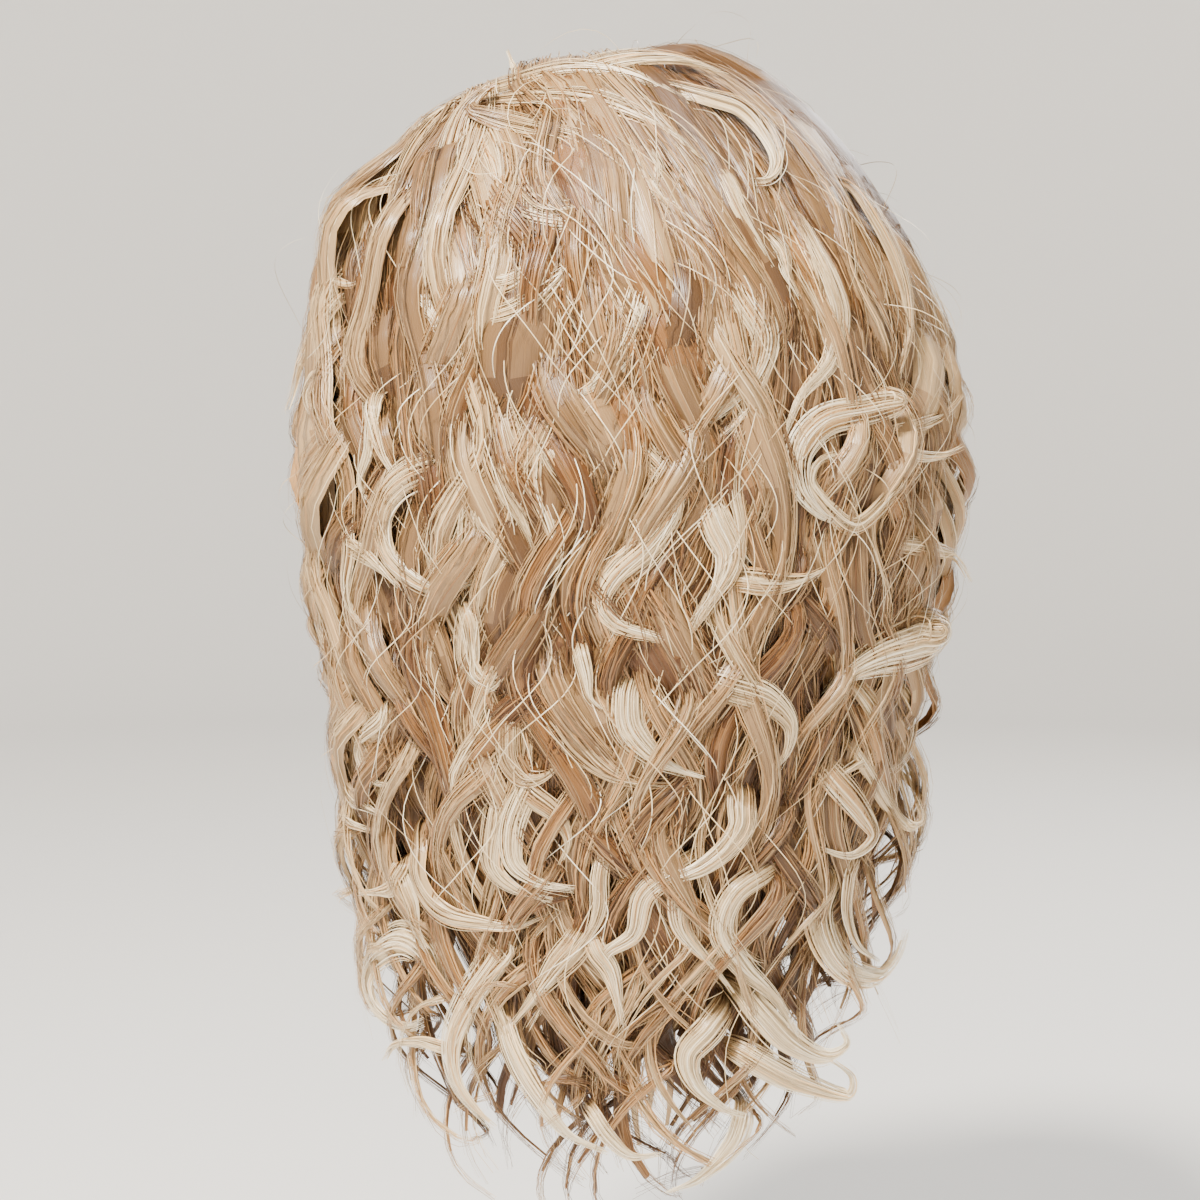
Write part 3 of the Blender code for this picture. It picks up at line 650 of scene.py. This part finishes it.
class Piece:
    """Sheets of hair in one mesh: broad ones for the body of a lock and narrow ones for strands."""

    def __init__(self, name):
        self.name = name
        self.points, self.normals, self.marks, self.tones, self.faces = [], [], [], [], []
        self.total = 0

    def add(self, grids, normals, marks, tones):
        """Adds sheets of points in rows and columns, with the tone of each of their faces."""
        count, rows, columns = grids.shape[:3]
        sheet = np.arange(count)[:, None, None] * rows * columns
        down = np.arange(rows - 1)[None, :, None] * columns
        first = self.total + sheet + down + np.arange(columns - 1)[None, None, :]
        quads = np.stack([first, first + 1, first + columns + 1, first + columns], axis=-1)
        self.points.append(grids.reshape(-1, 3))
        self.normals.append(normals.reshape(-1, 3))
        self.marks.append(marks.reshape(-1, 2))
        self.faces.append(quads.reshape(-1, 4))
        self.tones.append(np.broadcast_to(tones, quads.shape[:3]).reshape(-1))
        self.total += count * rows * columns

    def add_strands(self, paths, facing, widths, tones, warm):
        """Adds strands as narrow ribbons that are shaded round: paths and facing (strands, points, 3)."""
        along = unit(np.gradient(paths, axis=1))
        side = unit(np.cross(along, facing))
        front = unit(np.cross(side, along))
        half = (widths / 2)[..., None]
        edges = np.stack([paths - side * half, paths + side * half], axis=2)
        normals = np.stack([unit(front * 2.0 - side), unit(front * 2.0 + side)], axis=2)
        count, length = paths.shape[:2]
        marks = np.zeros((count, length, 2, 2))
        marks[..., 0] = rng.random((count, 1, 1)) + np.array([0, STRAND_WIDTH])
        marks[..., 1] = np.linspace(0, 0.4, length)[None, :, None]
        middle = (tones[:, 1:] + tones[:, :-1]) / 2
        self.add(edges, normals, marks, toned(middle, warm, rng.random((count, 1)) - 0.5)[..., None])

    def build(self, materials):
        points = np.concatenate(self.points)
        faces = np.concatenate(self.faces)
        mesh = bpy.data.meshes.new(self.name)
        mesh.vertices.add(len(points))
        mesh.vertices.foreach_set("co", points.astype(np.float32).ravel())
        mesh.loops.add(faces.size)
        mesh.loops.foreach_set("vertex_index", faces.astype(np.int32).ravel())
        mesh.polygons.add(len(faces))
        mesh.polygons.foreach_set("loop_start", np.arange(0, faces.size, 4, dtype=np.int32))
        mesh.polygons.foreach_set("material_index", np.concatenate(self.tones).astype(np.int32))
        for material in materials:
            mesh.materials.append(material)
        mesh.update(calc_edges=True)
        mesh.shade_smooth()
        marks = mesh.uv_layers.new(name=MARKS)
        marks.data.foreach_set("uv", np.concatenate(self.marks)[faces.ravel()].astype(np.float32).ravel())
        mesh.normals_split_custom_set_from_vertices(np.concatenate(self.normals).astype(np.float32))
        return placed(self.name, mesh)


def toned(tones, warm, dither):
    """The number of the material for each tone from 0 to 1, a plain one or, past those, a warm one."""
    whole = np.clip(np.floor(tones * len(TONES) + dither), 0, len(TONES) - 1)
    return (whole + len(TONES) * warm).astype(int)


def painted_light_and_level(points):
    """Painted light on hair at these points: a painted highlight where it stands out of the rest and painted
    shade where it lies deep, plus paler towards the hem and darker round the middle level.
    """
    down = -points[..., 2] / HAIR_DROP
    by_level = 0.07 * eased((down - 0.72) / 0.2) - 0.07 * np.exp(-(((down - 0.48) / 0.22) ** 2))
    # Painted highlight on hair that stands out past the outline's share, painted shade on hair lying deeper
    return np.clip(PAINTED_LIGHT_OUT * (beyond(points, 1.0)[0] - 0.93), -0.22, 0.22) + by_level


def add_lock(
    piece, path, out, half, depth, strands, tone, warm, points, frizz=0.0006, fan=1.8, stray=0.12, painted_root_shade=0.06
):
    """One lock: a curved body with ridges along it, and strands laid over it that come apart at the tip.

    It starts by the fan broader or narrower than it goes on. Its strands wave by the frizz, a few of them more.
    Near its root, where it lies under its neighbours, it is darker: painted shade.
    """
    along = unit(np.gradient(path, axis=0))
    across = unit(np.cross(along, out))
    facing = unit(np.cross(across, along))
    length = run_of(path)[-1]
    places = sampled(path, points)
    last = len(path) - 1

    def profiles(gone):
        narrowing = 1 - 0.90 * eased((gone - 0.40) / 0.60)
        swell = 1 + 0.16 * np.sin(2 * math.pi * (gone * length / 0.11 + swell_turn))
        begun = eased(gone / 0.25)
        return mix(fan, 1.0, begun) * narrowing * swell, mix(0.25, 1.0, begun) * narrowing

    swell_turn = rng.random()
    columns = np.linspace(-1, 1, BODY_COLUMNS)
    gone = places * 0.95 / last
    wide, deep = profiles(gone)
    turns = columns[None, :] * 1.7 + rng.random()
    ridges = np.sin(2 * math.pi * (turns + gone[:, None] * rng.uniform(-1, 1)))
    fill = MASS_FILL if half > BODY_HALF else CURL_FILL
    wide = columns[None, :] * half * fill * wide[:, None]
    deep = depth * deep[:, None] * (1 - columns[None, :] ** 2 + 0.16 * ridges) - 0.0006
    base, sides, fronts = (at(values, gone * last)[:, None, :] for values in (path, across, facing))
    body = base + sides * wide[..., None] + fronts * deep[..., None]
    body = kept_clear(body)
    normals = unit(np.cross(np.gradient(body, axis=1), np.gradient(body, axis=0)))
    normals *= np.sign((normals * fronts).sum(-1, keepdims=True) + 1e-9)
    marks = np.stack([wide + rng.random(), (gone * length)[:, None] + 0 * wide + rng.random()], axis=-1)
    body_tones = tone - 0.05 + 0.04 * ridges[1:, 1:] + PALER_ALONG * (gone[1:, None] - 0.5)
    # Painted highlight where the body stands out, painted shade where it lies deep and near its root under its
    # neighbours
    body_tones = body_tones + painted_light_and_level(body[1:, 1:]) - painted_root_shade * (1 - eased(gone[1:, None] / 0.35))
    body_warm = float(rng.random() < warm)
    piece.add(body[None], normals[None], marks[None], toned(body_tones, body_warm, 0.0)[None])

    count = int(strands)
    begin = 0.05 * rng.random((count, 1))
    end = 1 - 0.14 * rng.random((count, 1)) ** 2
    gone = begin + (places / last)[None, :] * (end - begin)
    wide, deep = profiles(gone)
    u = rng.uniform(-1.12, 1.12, (count, 1))
    loose = np.where(rng.random((count, 1)) < stray, 3.0, 1.0) * frizz
    waves = []
    for size, wave in ((1.0, 0.110), (1.0, 0.095), (0.35, 0.062), (0.35, 0.070)):
        turn = rng.random((count, 1)) + gone * length / (wave * rng.uniform(0.75, 1.3, (count, 1)))
        waves.append(size * loose * (0.35 + gone) * np.sin(2 * math.pi * turn))
    opened = 1 + 0.6 * eased((gone - 0.88) / 0.12)
    wide = u * half * wide * opened + waves[0] + waves[2]
    deep = depth * deep * np.maximum(1 - u**2, 0) + 0.0003 + 0.0010 * rng.random((count, 1))
    deep = deep + waves[1] + waves[3]
    spots = gone * last
    sides, fronts = at(across, spots), at(facing, spots)
    paths = at(path, spots) + sides * wide[..., None] + fronts * deep[..., None]
    paths = kept_clear(paths)
    tilt = rng.uniform(-0.35, 0.35, (count, 1, 1)) + 0.55 * u[..., None]
    share = np.linspace(0, 1, points)
    widths = STRAND_WIDTH * rng.uniform(0.7, 1.35, (count, 1)) * (1 - 0.7 * eased((share - 0.8) / 0.2))
    own = rng.normal(0, 0.095, (count, 1))
    streak = 0.05 * np.sin(2 * math.pi * (rng.random((count, 1)) + gone * rng.uniform(0.6, 2.2, (count, 1))))
    # Painted highlight where strands stand out, painted shade where they lie deep and near the root under the
    # neighbouring locks
    tones = tone + own + streak + PALER_ALONG * (gone - 0.5) + painted_light_and_level(paths)
    tones = tones - painted_root_shade * (1 - eased(gone / 0.35))
    piece.add_strands(paths, unit(fronts + sides * tilt), widths, tones, rng.random((count, 1)) < warm)


def hair_material(name, colour):
    """One tone of hair, with fine grooves along it."""
    material = principled(name, colour, HAIR_ROUGHNESS, 0.35 + 0.5 * colour[0])
    nodes, links = material.node_tree.nodes, material.node_tree.links
    nodes["Principled BSDF"].inputs["Anisotropic"].default_value = HAIR_ANISOTROPY
    tangent = nodes.new("ShaderNodeTangent")
    tangent.direction_type = "UV_MAP"
    tangent.uv_map = MARKS
    links.new(tangent.outputs["Tangent"], nodes["Principled BSDF"].inputs["Tangent"])
    marks = nodes.new("ShaderNodeUVMap")
    marks.uv_map = MARKS
    stretch = nodes.new("ShaderNodeMapping")
    stretch.inputs["Scale"].default_value = GROOVES
    noise = nodes.new("ShaderNodeTexNoise")
    noise.inputs["Scale"].default_value = 1.0
    noise.inputs["Detail"].default_value = 2.0
    bump = nodes.new("ShaderNodeBump")
    bump.inputs["Strength"].default_value = GROOVE_STRENGTH
    bump.inputs["Distance"].default_value = GROOVE_DEPTH
    links.new(marks.outputs["UV"], stretch.inputs["Vector"])
    links.new(stretch.outputs["Vector"], noise.inputs["Vector"])
    links.new(noise.outputs["Fac"], bump.inputs["Height"])
    links.new(bump.outputs["Normal"], nodes["Principled BSDF"].inputs["Normal"])
    return material


def principled(name, colour, roughness, specular):
    material = bpy.data.materials.new(name)
    material.use_nodes = True
    shader = material.node_tree.nodes["Principled BSDF"]
    shader.inputs["Base Color"].default_value = (*colour, 1)
    shader.inputs["Roughness"].default_value = roughness
    shader.inputs["Specular IOR Level"].default_value = specular
    return material


def camera_axes():
    """The camera's place and its right, up and forward directions."""
    lift = math.radians(CAMERA_ELEVATION)
    forward = np.array([0.0, -math.cos(lift), -math.sin(lift)])
    right = np.array([-1.0, 0.0, 0.0])
    up = np.cross(right, forward)
    return np.array(AIM) - forward * CAMERA_DISTANCE, right, up, forward


def smooth_line(places, count):
    """A smooth line through the places, evenly spaced."""
    places = np.array(places, float)
    chords = np.sqrt(np.linalg.norm(np.diff(places, axis=0), axis=1))
    knots = np.concatenate([[0], np.cumsum(chords)])
    slopes = np.gradient(places, knots, axis=0)
    spots = np.linspace(0, knots[-1], count)
    low = np.clip(np.searchsorted(knots, spots, side="right") - 1, 0, len(knots) - 2)
    gap = (knots[low + 1] - knots[low])[:, None]
    t = ((spots - knots[low])[:, None]) / gap
    first = (2 * t**3 - 3 * t**2 + 1) * places[low] + (t**3 - 2 * t**2 + t) * gap * slopes[low]
    return first + (3 * t**2 - 2 * t**3) * places[low + 1] + (t**3 - t**2) * gap * slopes[low + 1]


def behind_pixels(pixels, heights):
    """The points of the hair's layers that cover these pixels of the photo."""
    eye, right, up, forward = camera_axes()
    shift = (pixels - PHOTO_MIDDLE) * PHOTO_SCALE
    aims = forward * CAMERA_DISTANCE + right * shift[:, :1] - up * shift[:, 1:]
    reach = np.linspace(1 - 0.20 / CAMERA_DISTANCE, 1 + 0.02 / CAMERA_DISTANCE, 260)
    tries = eye + aims[:, None, :] * reach[None, :, None]
    out = beyond(tries, heights[:, None])[0]
    first = np.where((out < 1).any(1), np.argmax(out < 1, axis=1), np.argmin(out, axis=1))
    depth = reach[first]
    middle = np.median(depth)
    depth = np.clip(depth, middle - MAIN_DEPTH / CAMERA_DISTANCE, middle + MAIN_DEPTH / CAMERA_DISTANCE)
    for _ in range(3):
        depth = np.convolve(np.pad(depth, 4, mode="edge"), np.ones(9) / 9, mode="valid")
    return eye + aims * depth[:, None]


def piece_for(line):
    """The name of the piece that a lock with this middle line is part of."""
    middle = line[len(line) // 2]
    around = math.degrees(math.atan2(middle[0], middle[1]))
    return next(name for name, limit in SECTORS if around <= limit)


def round_parting(count, distance):
    """The azimuths and meridians of places in a ring round the parting."""
    turns = np.radians(np.arange(count) * 360 / count + rng.uniform(-7, 7, count))
    x = PARTING_X + distance * np.sin(turns)
    y = PARTING_Y + distance * PARTING_STRETCH * np.cos(turns)
    across = x / HEAD_HALF_BREADTH
    ahead = y / np.where(y > 0, HEAD_BACK, HEAD_FRONT)
    flat = np.minimum(np.hypot(across, ahead), 0.98)
    return np.degrees(np.arctan2(across, ahead)), np.degrees(np.arcsin(flat)) / 90


def build_row(pieces, azimuths, roots, height, tip, radius, half, strands, points):
    """One row of locks, each in the piece for its place."""
    count = len(azimuths)
    roots = np.minimum(roots, rim_meridian(azimuths) - 0.06)
    heights = np.clip(height + rng.uniform(-0.09, 0.05, count), 0.3, 1.0)
    tips = tip * (1 - 0.16 * rng.random(count) ** 1.5)
    lines = lock_lines(azimuths, roots, heights, tips)
    calm = eased((82 - np.abs(azimuths)) / 25) * (half < BODY_HALF)
    heights = heights - CALM_BACK * calm
    for line, level, start, quiet in zip(lines, heights, roots, calm):
        shift = rng.random() if rng.random() < 0.18 else rng.normal(0, 0.08)
        wide = radius * rng.uniform(0.55, 1.5) * (1 - 0.25 * quiet)
        path, out = wound(line, start * 0.17, level, wide, shift, rng.uniform(0.2, 1.25))
        low = -line[len(line) // 2, 2] / HAIR_DROP
        inside = math.exp(-((low - 0.62) / 0.22) ** 2 - (line[len(line) // 2, 0] / 0.10) ** 2)
        # Painted shade: a lock is darker the deeper it lies, and darker still where it lies calmer under the
        # standout curls; the lower middle is darker and warmer
        tone = mix(SHADED_DEEP_TONE, HIGH_TONE, (level - DEEP_HEIGHT) / TONE_HEIGHTS)
        tone = tone + rng.uniform(-TONE_SPREAD, TONE_SPREAD) - 0.08 * inside - 0.04 * quiet
        warm = 0.18 + 0.9 * inside * (1.1 - level)
        own_half = half * rng.uniform(0.8, 1.25)
        shape = (own_half, 0.6 * own_half, strands)
        away = np.linalg.norm(line[0] - np.array([PARTING_X, PARTING_Y, PARTING_LEVEL]))
        fan = mix(0.9, 1.8, eased(away / 0.06))
        add_lock(pieces[piece_for(line)], path, out, *shape, tone, warm, int(points), fan=fan)


def build_rows(pieces):
    """All the locks of the rows and of the rings round the parting."""
    for count, azimuth_from, azimuth_to, root, *rest in zip(*LOCK_ROWS):
        count = int(count)
        gap = (azimuth_to - azimuth_from) / count
        azimuths = turned(azimuth_from + gap * (np.arange(count) + 0.5 + rng.uniform(-0.35, 0.35, count)))
        build_row(pieces, azimuths, root + rng.uniform(-0.08, 0.08, count), *rest)
    for count, distance, *rest in zip(*PARTING_ROWS):
        azimuths, roots = round_parting(int(count), distance)
        build_row(pieces, azimuths, roots, *rest)


def build_main_locks(pieces):
    """The standout curls, in one piece over the middle of the photo and one under it."""
    for width, tone, pixels in MAIN_LOCKS:
        piece = pieces["upper_curls" if pixels[0][1] < PHOTO_MIDDLE else "lower_curls"]
        pixels = np.array(pixels, float)
        before = pixels[0] + unit(pixels[0] - pixels[1]) * ROOT_PIXELS
        before[0] = mix(before[0], PHOTO_MIDDLE, 0.15)
        line = smooth_line([before, *pixels], 90)
        share = np.linspace(0, 1, len(line))
        heights = mix(0.66, 1.03, eased(share / 0.35))
        path = behind_pixels(line, heights)
        out = outward(path, heights)
        half = width * PHOTO_SCALE * 0.60
        shape = (half, 0.42 * half, int(13 + width * 0.7))
        # Standout curls start narrow and carry stronger painted shade near the root, where they go on under
        # their neighbours
        ends = {"fan": 0.35, "painted_root_shade": 0.30}
        add_lock(piece, path, out, *shape, tone - MAIN_TONE_DROP, 0.12, 34, frizz=0.0004, stray=0.08, **ends)


def build_inner_hair(piece):
    """The hair next to the head, seen through the open face side and from below."""
    azimuths = np.linspace(-FACE_AZIMUTH + 4, FACE_AZIMUTH - 4, INNER_LOCKS)
    roots = rim_meridian(azimuths) - 0.08
    tips = rng.uniform(0.84, 0.98, INNER_LOCKS)
    lines = lock_lines(azimuths, roots, np.full(INNER_LOCKS, 0.14), tips)
    for line, rim in zip(lines, level_of(rim_meridian(azimuths))):
        under = eased((rim - 0.012 - line[:, 2]) / 0.030)
        line = on_layer(line, mix(0.16, CLEAR_HEIGHT, under))
        path, out = wound(line, 0.2, CLEAR_HEIGHT, 0.0025, rng.normal(0, 0.1), 0.2)
        shape = (0.0105, 0.0012, 8)
        add_lock(piece, path, -out, *shape, rng.uniform(0.50, 0.70), 0.3, 34)


def build_strays(piece):
    """Short single strands that stand off the outline."""
    azimuths = rng.uniform(-132, 132, STRAYS)
    roots = np.minimum(rng.uniform(0.1, 1.2, STRAYS), rim_meridian(azimuths) - 0.06)
    heights = rng.uniform(0.90, 1.0, STRAYS)
    lines = lock_lines(azimuths, roots, heights, rng.uniform(0.25, 1.0, STRAYS))
    points = 26
    share = np.linspace(0, 1, points)
    for line, height in zip(lines, heights):
        first = rng.integers(5, STEPS - 45)
        line = line[first : first + rng.integers(25, 45)]
        path, out = wound(line, 0.3, height, rng.uniform(0.006, 0.018), rng.random(), rng.uniform(0.2, 1.0))
        gone = run_of(path)
        lift = (rng.uniform(0.0, 0.012) * np.sin(math.pi * gone / gone[-1]) ** 2)[:, None]
        spots = sampled(path, points)[None, :]
        widths = 0.00042 * (1 - 0.6 * eased((share - 0.8) / 0.2))[None, :]
        tones = np.full((1, points), rng.uniform(0.5, 0.9))
        piece.add_strands(at(path + out * lift, spots), at(out, spots), widths, tones, np.zeros((1, 1)))


def build_under_layer():
    """The opaque hair under the locks, from just over the cap to half-way out, with a dip at the parting."""
    azimuths = np.radians(np.linspace(-180, 180, 73))
    degrees = np.degrees(azimuths)
    hood_low = rim_meridian(degrees) - 0.10
    fall = meridian_of(-0.84 * HAIR_DROP * read(HEM, "drop", degrees))
    side = eased((FACE_AZIMUTH - 10 - np.abs(degrees)) / 10)
    ends = mix(hood_low, fall, side)
    rows = 40
    share = np.linspace(0, 1, rows + 1)[:, None]
    points = []
    meridians = 0.01 + share * (ends - 0.01)[None, :]
    around = degrees[None, :] + 0 * share
    near = layer_points(around, meridians, 0.3 + 0 * around) - np.array([PARTING_X, PARTING_Y, PARTING_LEVEL])
    away = eased((np.linalg.norm(near, axis=-1) - 0.012) / 0.060)
    for height, dipped in ((0.64, 0.13), (0.20, 0.09)):
        taper = mix(height, 0.24, eased((share - 0.75) / 0.25)) if height > 0.3 else height
        points.append(layer_points(around, meridians, mix(dipped, taper, away)).reshape(-1, 3))
    columns = len(degrees)
    faces = []
    for layer in range(2):
        base = layer * (rows + 1) * columns
        for r in range(rows):
            for c in range(columns - 1):
                quad = [base + r * columns + c, base + r * columns + c + 1]
                quad += [base + (r + 1) * columns + c + 1, base + (r + 1) * columns + c]
                faces.append(quad[::-1] if layer == 0 else quad)
    low = rows * columns
    other = (rows + 1) * columns
    for c in range(columns - 1):
        faces.append([low + c, low + c + 1, other + low + c + 1, other + low + c])
    material = principled("under_hair", (0.39, 0.260, 0.140), 0.6, 0.2)
    return surface("under_layer", [tuple(p) for p in np.concatenate(points)], faces, material)


def ribbons(name, lines, normals, width, material):
    """Flat threads along lines, each (points, 3) with its outward directions."""
    points, faces = [], []
    for line, normal in zip(lines, normals):
        side = unit(np.cross(unit(np.gradient(line, axis=0)), normal)) * width / 2
        start = len(points)
        for left, right in zip(line - side, line + side):
            points += [tuple(left), tuple(right)]
        for first in range(start, len(points) - 2, 2):
            faces.append([first, first + 1, first + 3, first + 2])
    return surface(name, points, faces, material)


def build_lace():
    """The lace strip as a net of crossing threads, with a firmer thread along its edge."""
    cells, slant, steps = 150, 7.0, 14
    share = np.linspace(0, 1, steps)
    start_azimuth, end_azimuth = LACE_AZIMUTH, 360 - LACE_AZIMUTH
    lines, normals = [], []
    for lean in (-slant, slant):
        for azimuth in np.linspace(start_azimuth, end_azimuth, cells):
            azimuths = np.clip(azimuth + lean * (share - 0.5), start_azimuth, end_azimuth)
            rims = rim_meridian(azimuths)
            meridians = rims - LACE_WIDTH / (HEAD_CROWN * math.pi / 2) * (1 - share)
            line = head_points(azimuths, meridians, 0.0005)
            lines.append(line)
            normals.append(unit(line - np.array([0, 0, EQUATOR])))
    azimuths = np.linspace(start_azimuth, end_azimuth, 200)
    for back in (0.0, 0.35, 1.0):
        meridians = rim_meridian(azimuths) - 0.001 - back * LACE_WIDTH / (HEAD_CROWN * math.pi / 2)
        line = head_points(azimuths, meridians, 0.0005)
        lines.append(line)
        normals.append(unit(line - np.array([0, 0, EQUATOR])))
    thread = principled("lace_thread", (0.66, 0.50, 0.37), 0.7, 0.3)
    return ribbons("lace_net", lines, normals, LACE_THREAD, thread)


def build_wefts():
    """The bands inside the cap that the hair is sewn to."""
    lines, normals = [], []
    for meridian in np.linspace(0.30, 1.55, 11):
        azimuths = np.linspace(-100, 100, 90)
        kept = rim_meridian(azimuths) > meridian + 0.03
        if kept.sum() < 8:
            continue
        line = head_points(azimuths[kept], np.full(kept.sum(), meridian), -0.0012)
        lines.append(line)
        normals.append(unit(line - np.array([0, 0, EQUATOR])))
    tape = principled("weft_tape", (0.30, 0.19, 0.11), 0.8, 0.2)
    return ribbons("cap_wefts", lines, normals, WEFT_WIDTH, tape)


def build_stage():
    """A round pale floor that curves up into a backdrop."""
    bends, radius, bend, low, top, around = 24, 2.4, 0.9, -0.62, 2.6, 96
    angles = np.linspace(0, math.pi / 2, bends)
    profile = [(0.001, low), (radius, low)]
    profile += [(radius + bend * math.sin(a), low + bend * (1 - math.cos(a))) for a in angles[1:]]
    profile.append((radius + bend, top))
    points, faces = [], []
    for r, z in profile:
        for k in range(around):
            turn = 2 * math.pi * k / around
            points.append((r * math.cos(turn), r * math.sin(turn), z))
    for row in range(len(profile) - 1):
        for k in range(around):
            low_edge, following = row * around + k, row * around + (k + 1) % around
            faces.append([low_edge, following, following + around, low_edge + around])
    obj = surface("floor", points, faces, principled("floor", (0.78, 0.77, 0.75), 0.9, 0.1))


def area_light(name, place, size, power, colour):
    """A soft round light that is aimed at the middle of the picture."""
    light = bpy.data.lights.new(name, "AREA")
    light.shape = "DISK"
    light.size = size
    light.energy = power
    light.color = colour
    target = placed(name + "_aim", None)
    target.location = AIM
    obj = placed(name, light)
    obj.location = place
    follow = obj.constraints.new("TRACK_TO")
    follow.target = target
    follow.track_axis = "TRACK_NEGATIVE_Z"
    follow.up_axis = "UP_Y"


def build_lights():
    for light in LIGHTS:
        area_light(*light)
    world = bpy.data.worlds.new("studio")
    world.use_nodes = True
    world.node_tree.nodes["Background"].inputs["Color"].default_value = WORLD_COLOUR
    world.node_tree.nodes["Background"].inputs["Strength"].default_value = WORLD_STRENGTH
    bpy.context.scene.world = world


def build_camera():
    eye = camera_axes()[0]
    camera = bpy.data.cameras.new("camera")
    camera.sensor_width = 36.0
    camera.lens = 36.0 * CAMERA_DISTANCE / (2 * PHOTO_MIDDLE * PHOTO_SCALE)
    obj = placed("camera", camera)
    obj.location = eye
    obj.rotation_euler = (math.radians(90 - CAMERA_ELEVATION), 0, math.pi)
    bpy.context.scene.camera = obj


def main():
    tones = [hair_material(f"hair_{k}", colour) for k, colour in enumerate(TONES)]
    warm = [tuple(part * share for part, share in zip(colour, WARMTH)) for colour in TONES]
    tones += [hair_material(f"warm_hair_{k}", colour) for k, colour in enumerate(warm)]
    pieces = {name: Piece(name + "_hair") for name, _ in SECTORS}
    build_rows(pieces)
    pieces["upper_curls"] = Piece("upper_standout_curls")
    pieces["lower_curls"] = Piece("lower_standout_curls")
    build_main_locks(pieces)
    pieces["inner"] = Piece("inner_hair")
    build_inner_hair(pieces["inner"])
    pieces["strays"] = Piece("stray_strands")
    build_strays(pieces["strays"])
    built = {}
    for name, piece in pieces.items():
        built[name] = piece.build(tones)
    built["under"] = build_under_layer()
    built["lace"] = build_lace()
    built["wefts"] = build_wefts()
    for obj in built.values():
        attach(obj, "root")
    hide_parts("hair_top")
    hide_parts("hair_back")
    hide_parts("hair_left")
    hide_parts("hair_right")
    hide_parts("lace_front")
    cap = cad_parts["cap"]
    cap.data.materials.clear()
    cap.data.materials.append(principled("cap_net", (0.42, 0.29, 0.19), 0.85, 0.2))
    build_stage()
    build_lights()
    build_camera()


main()
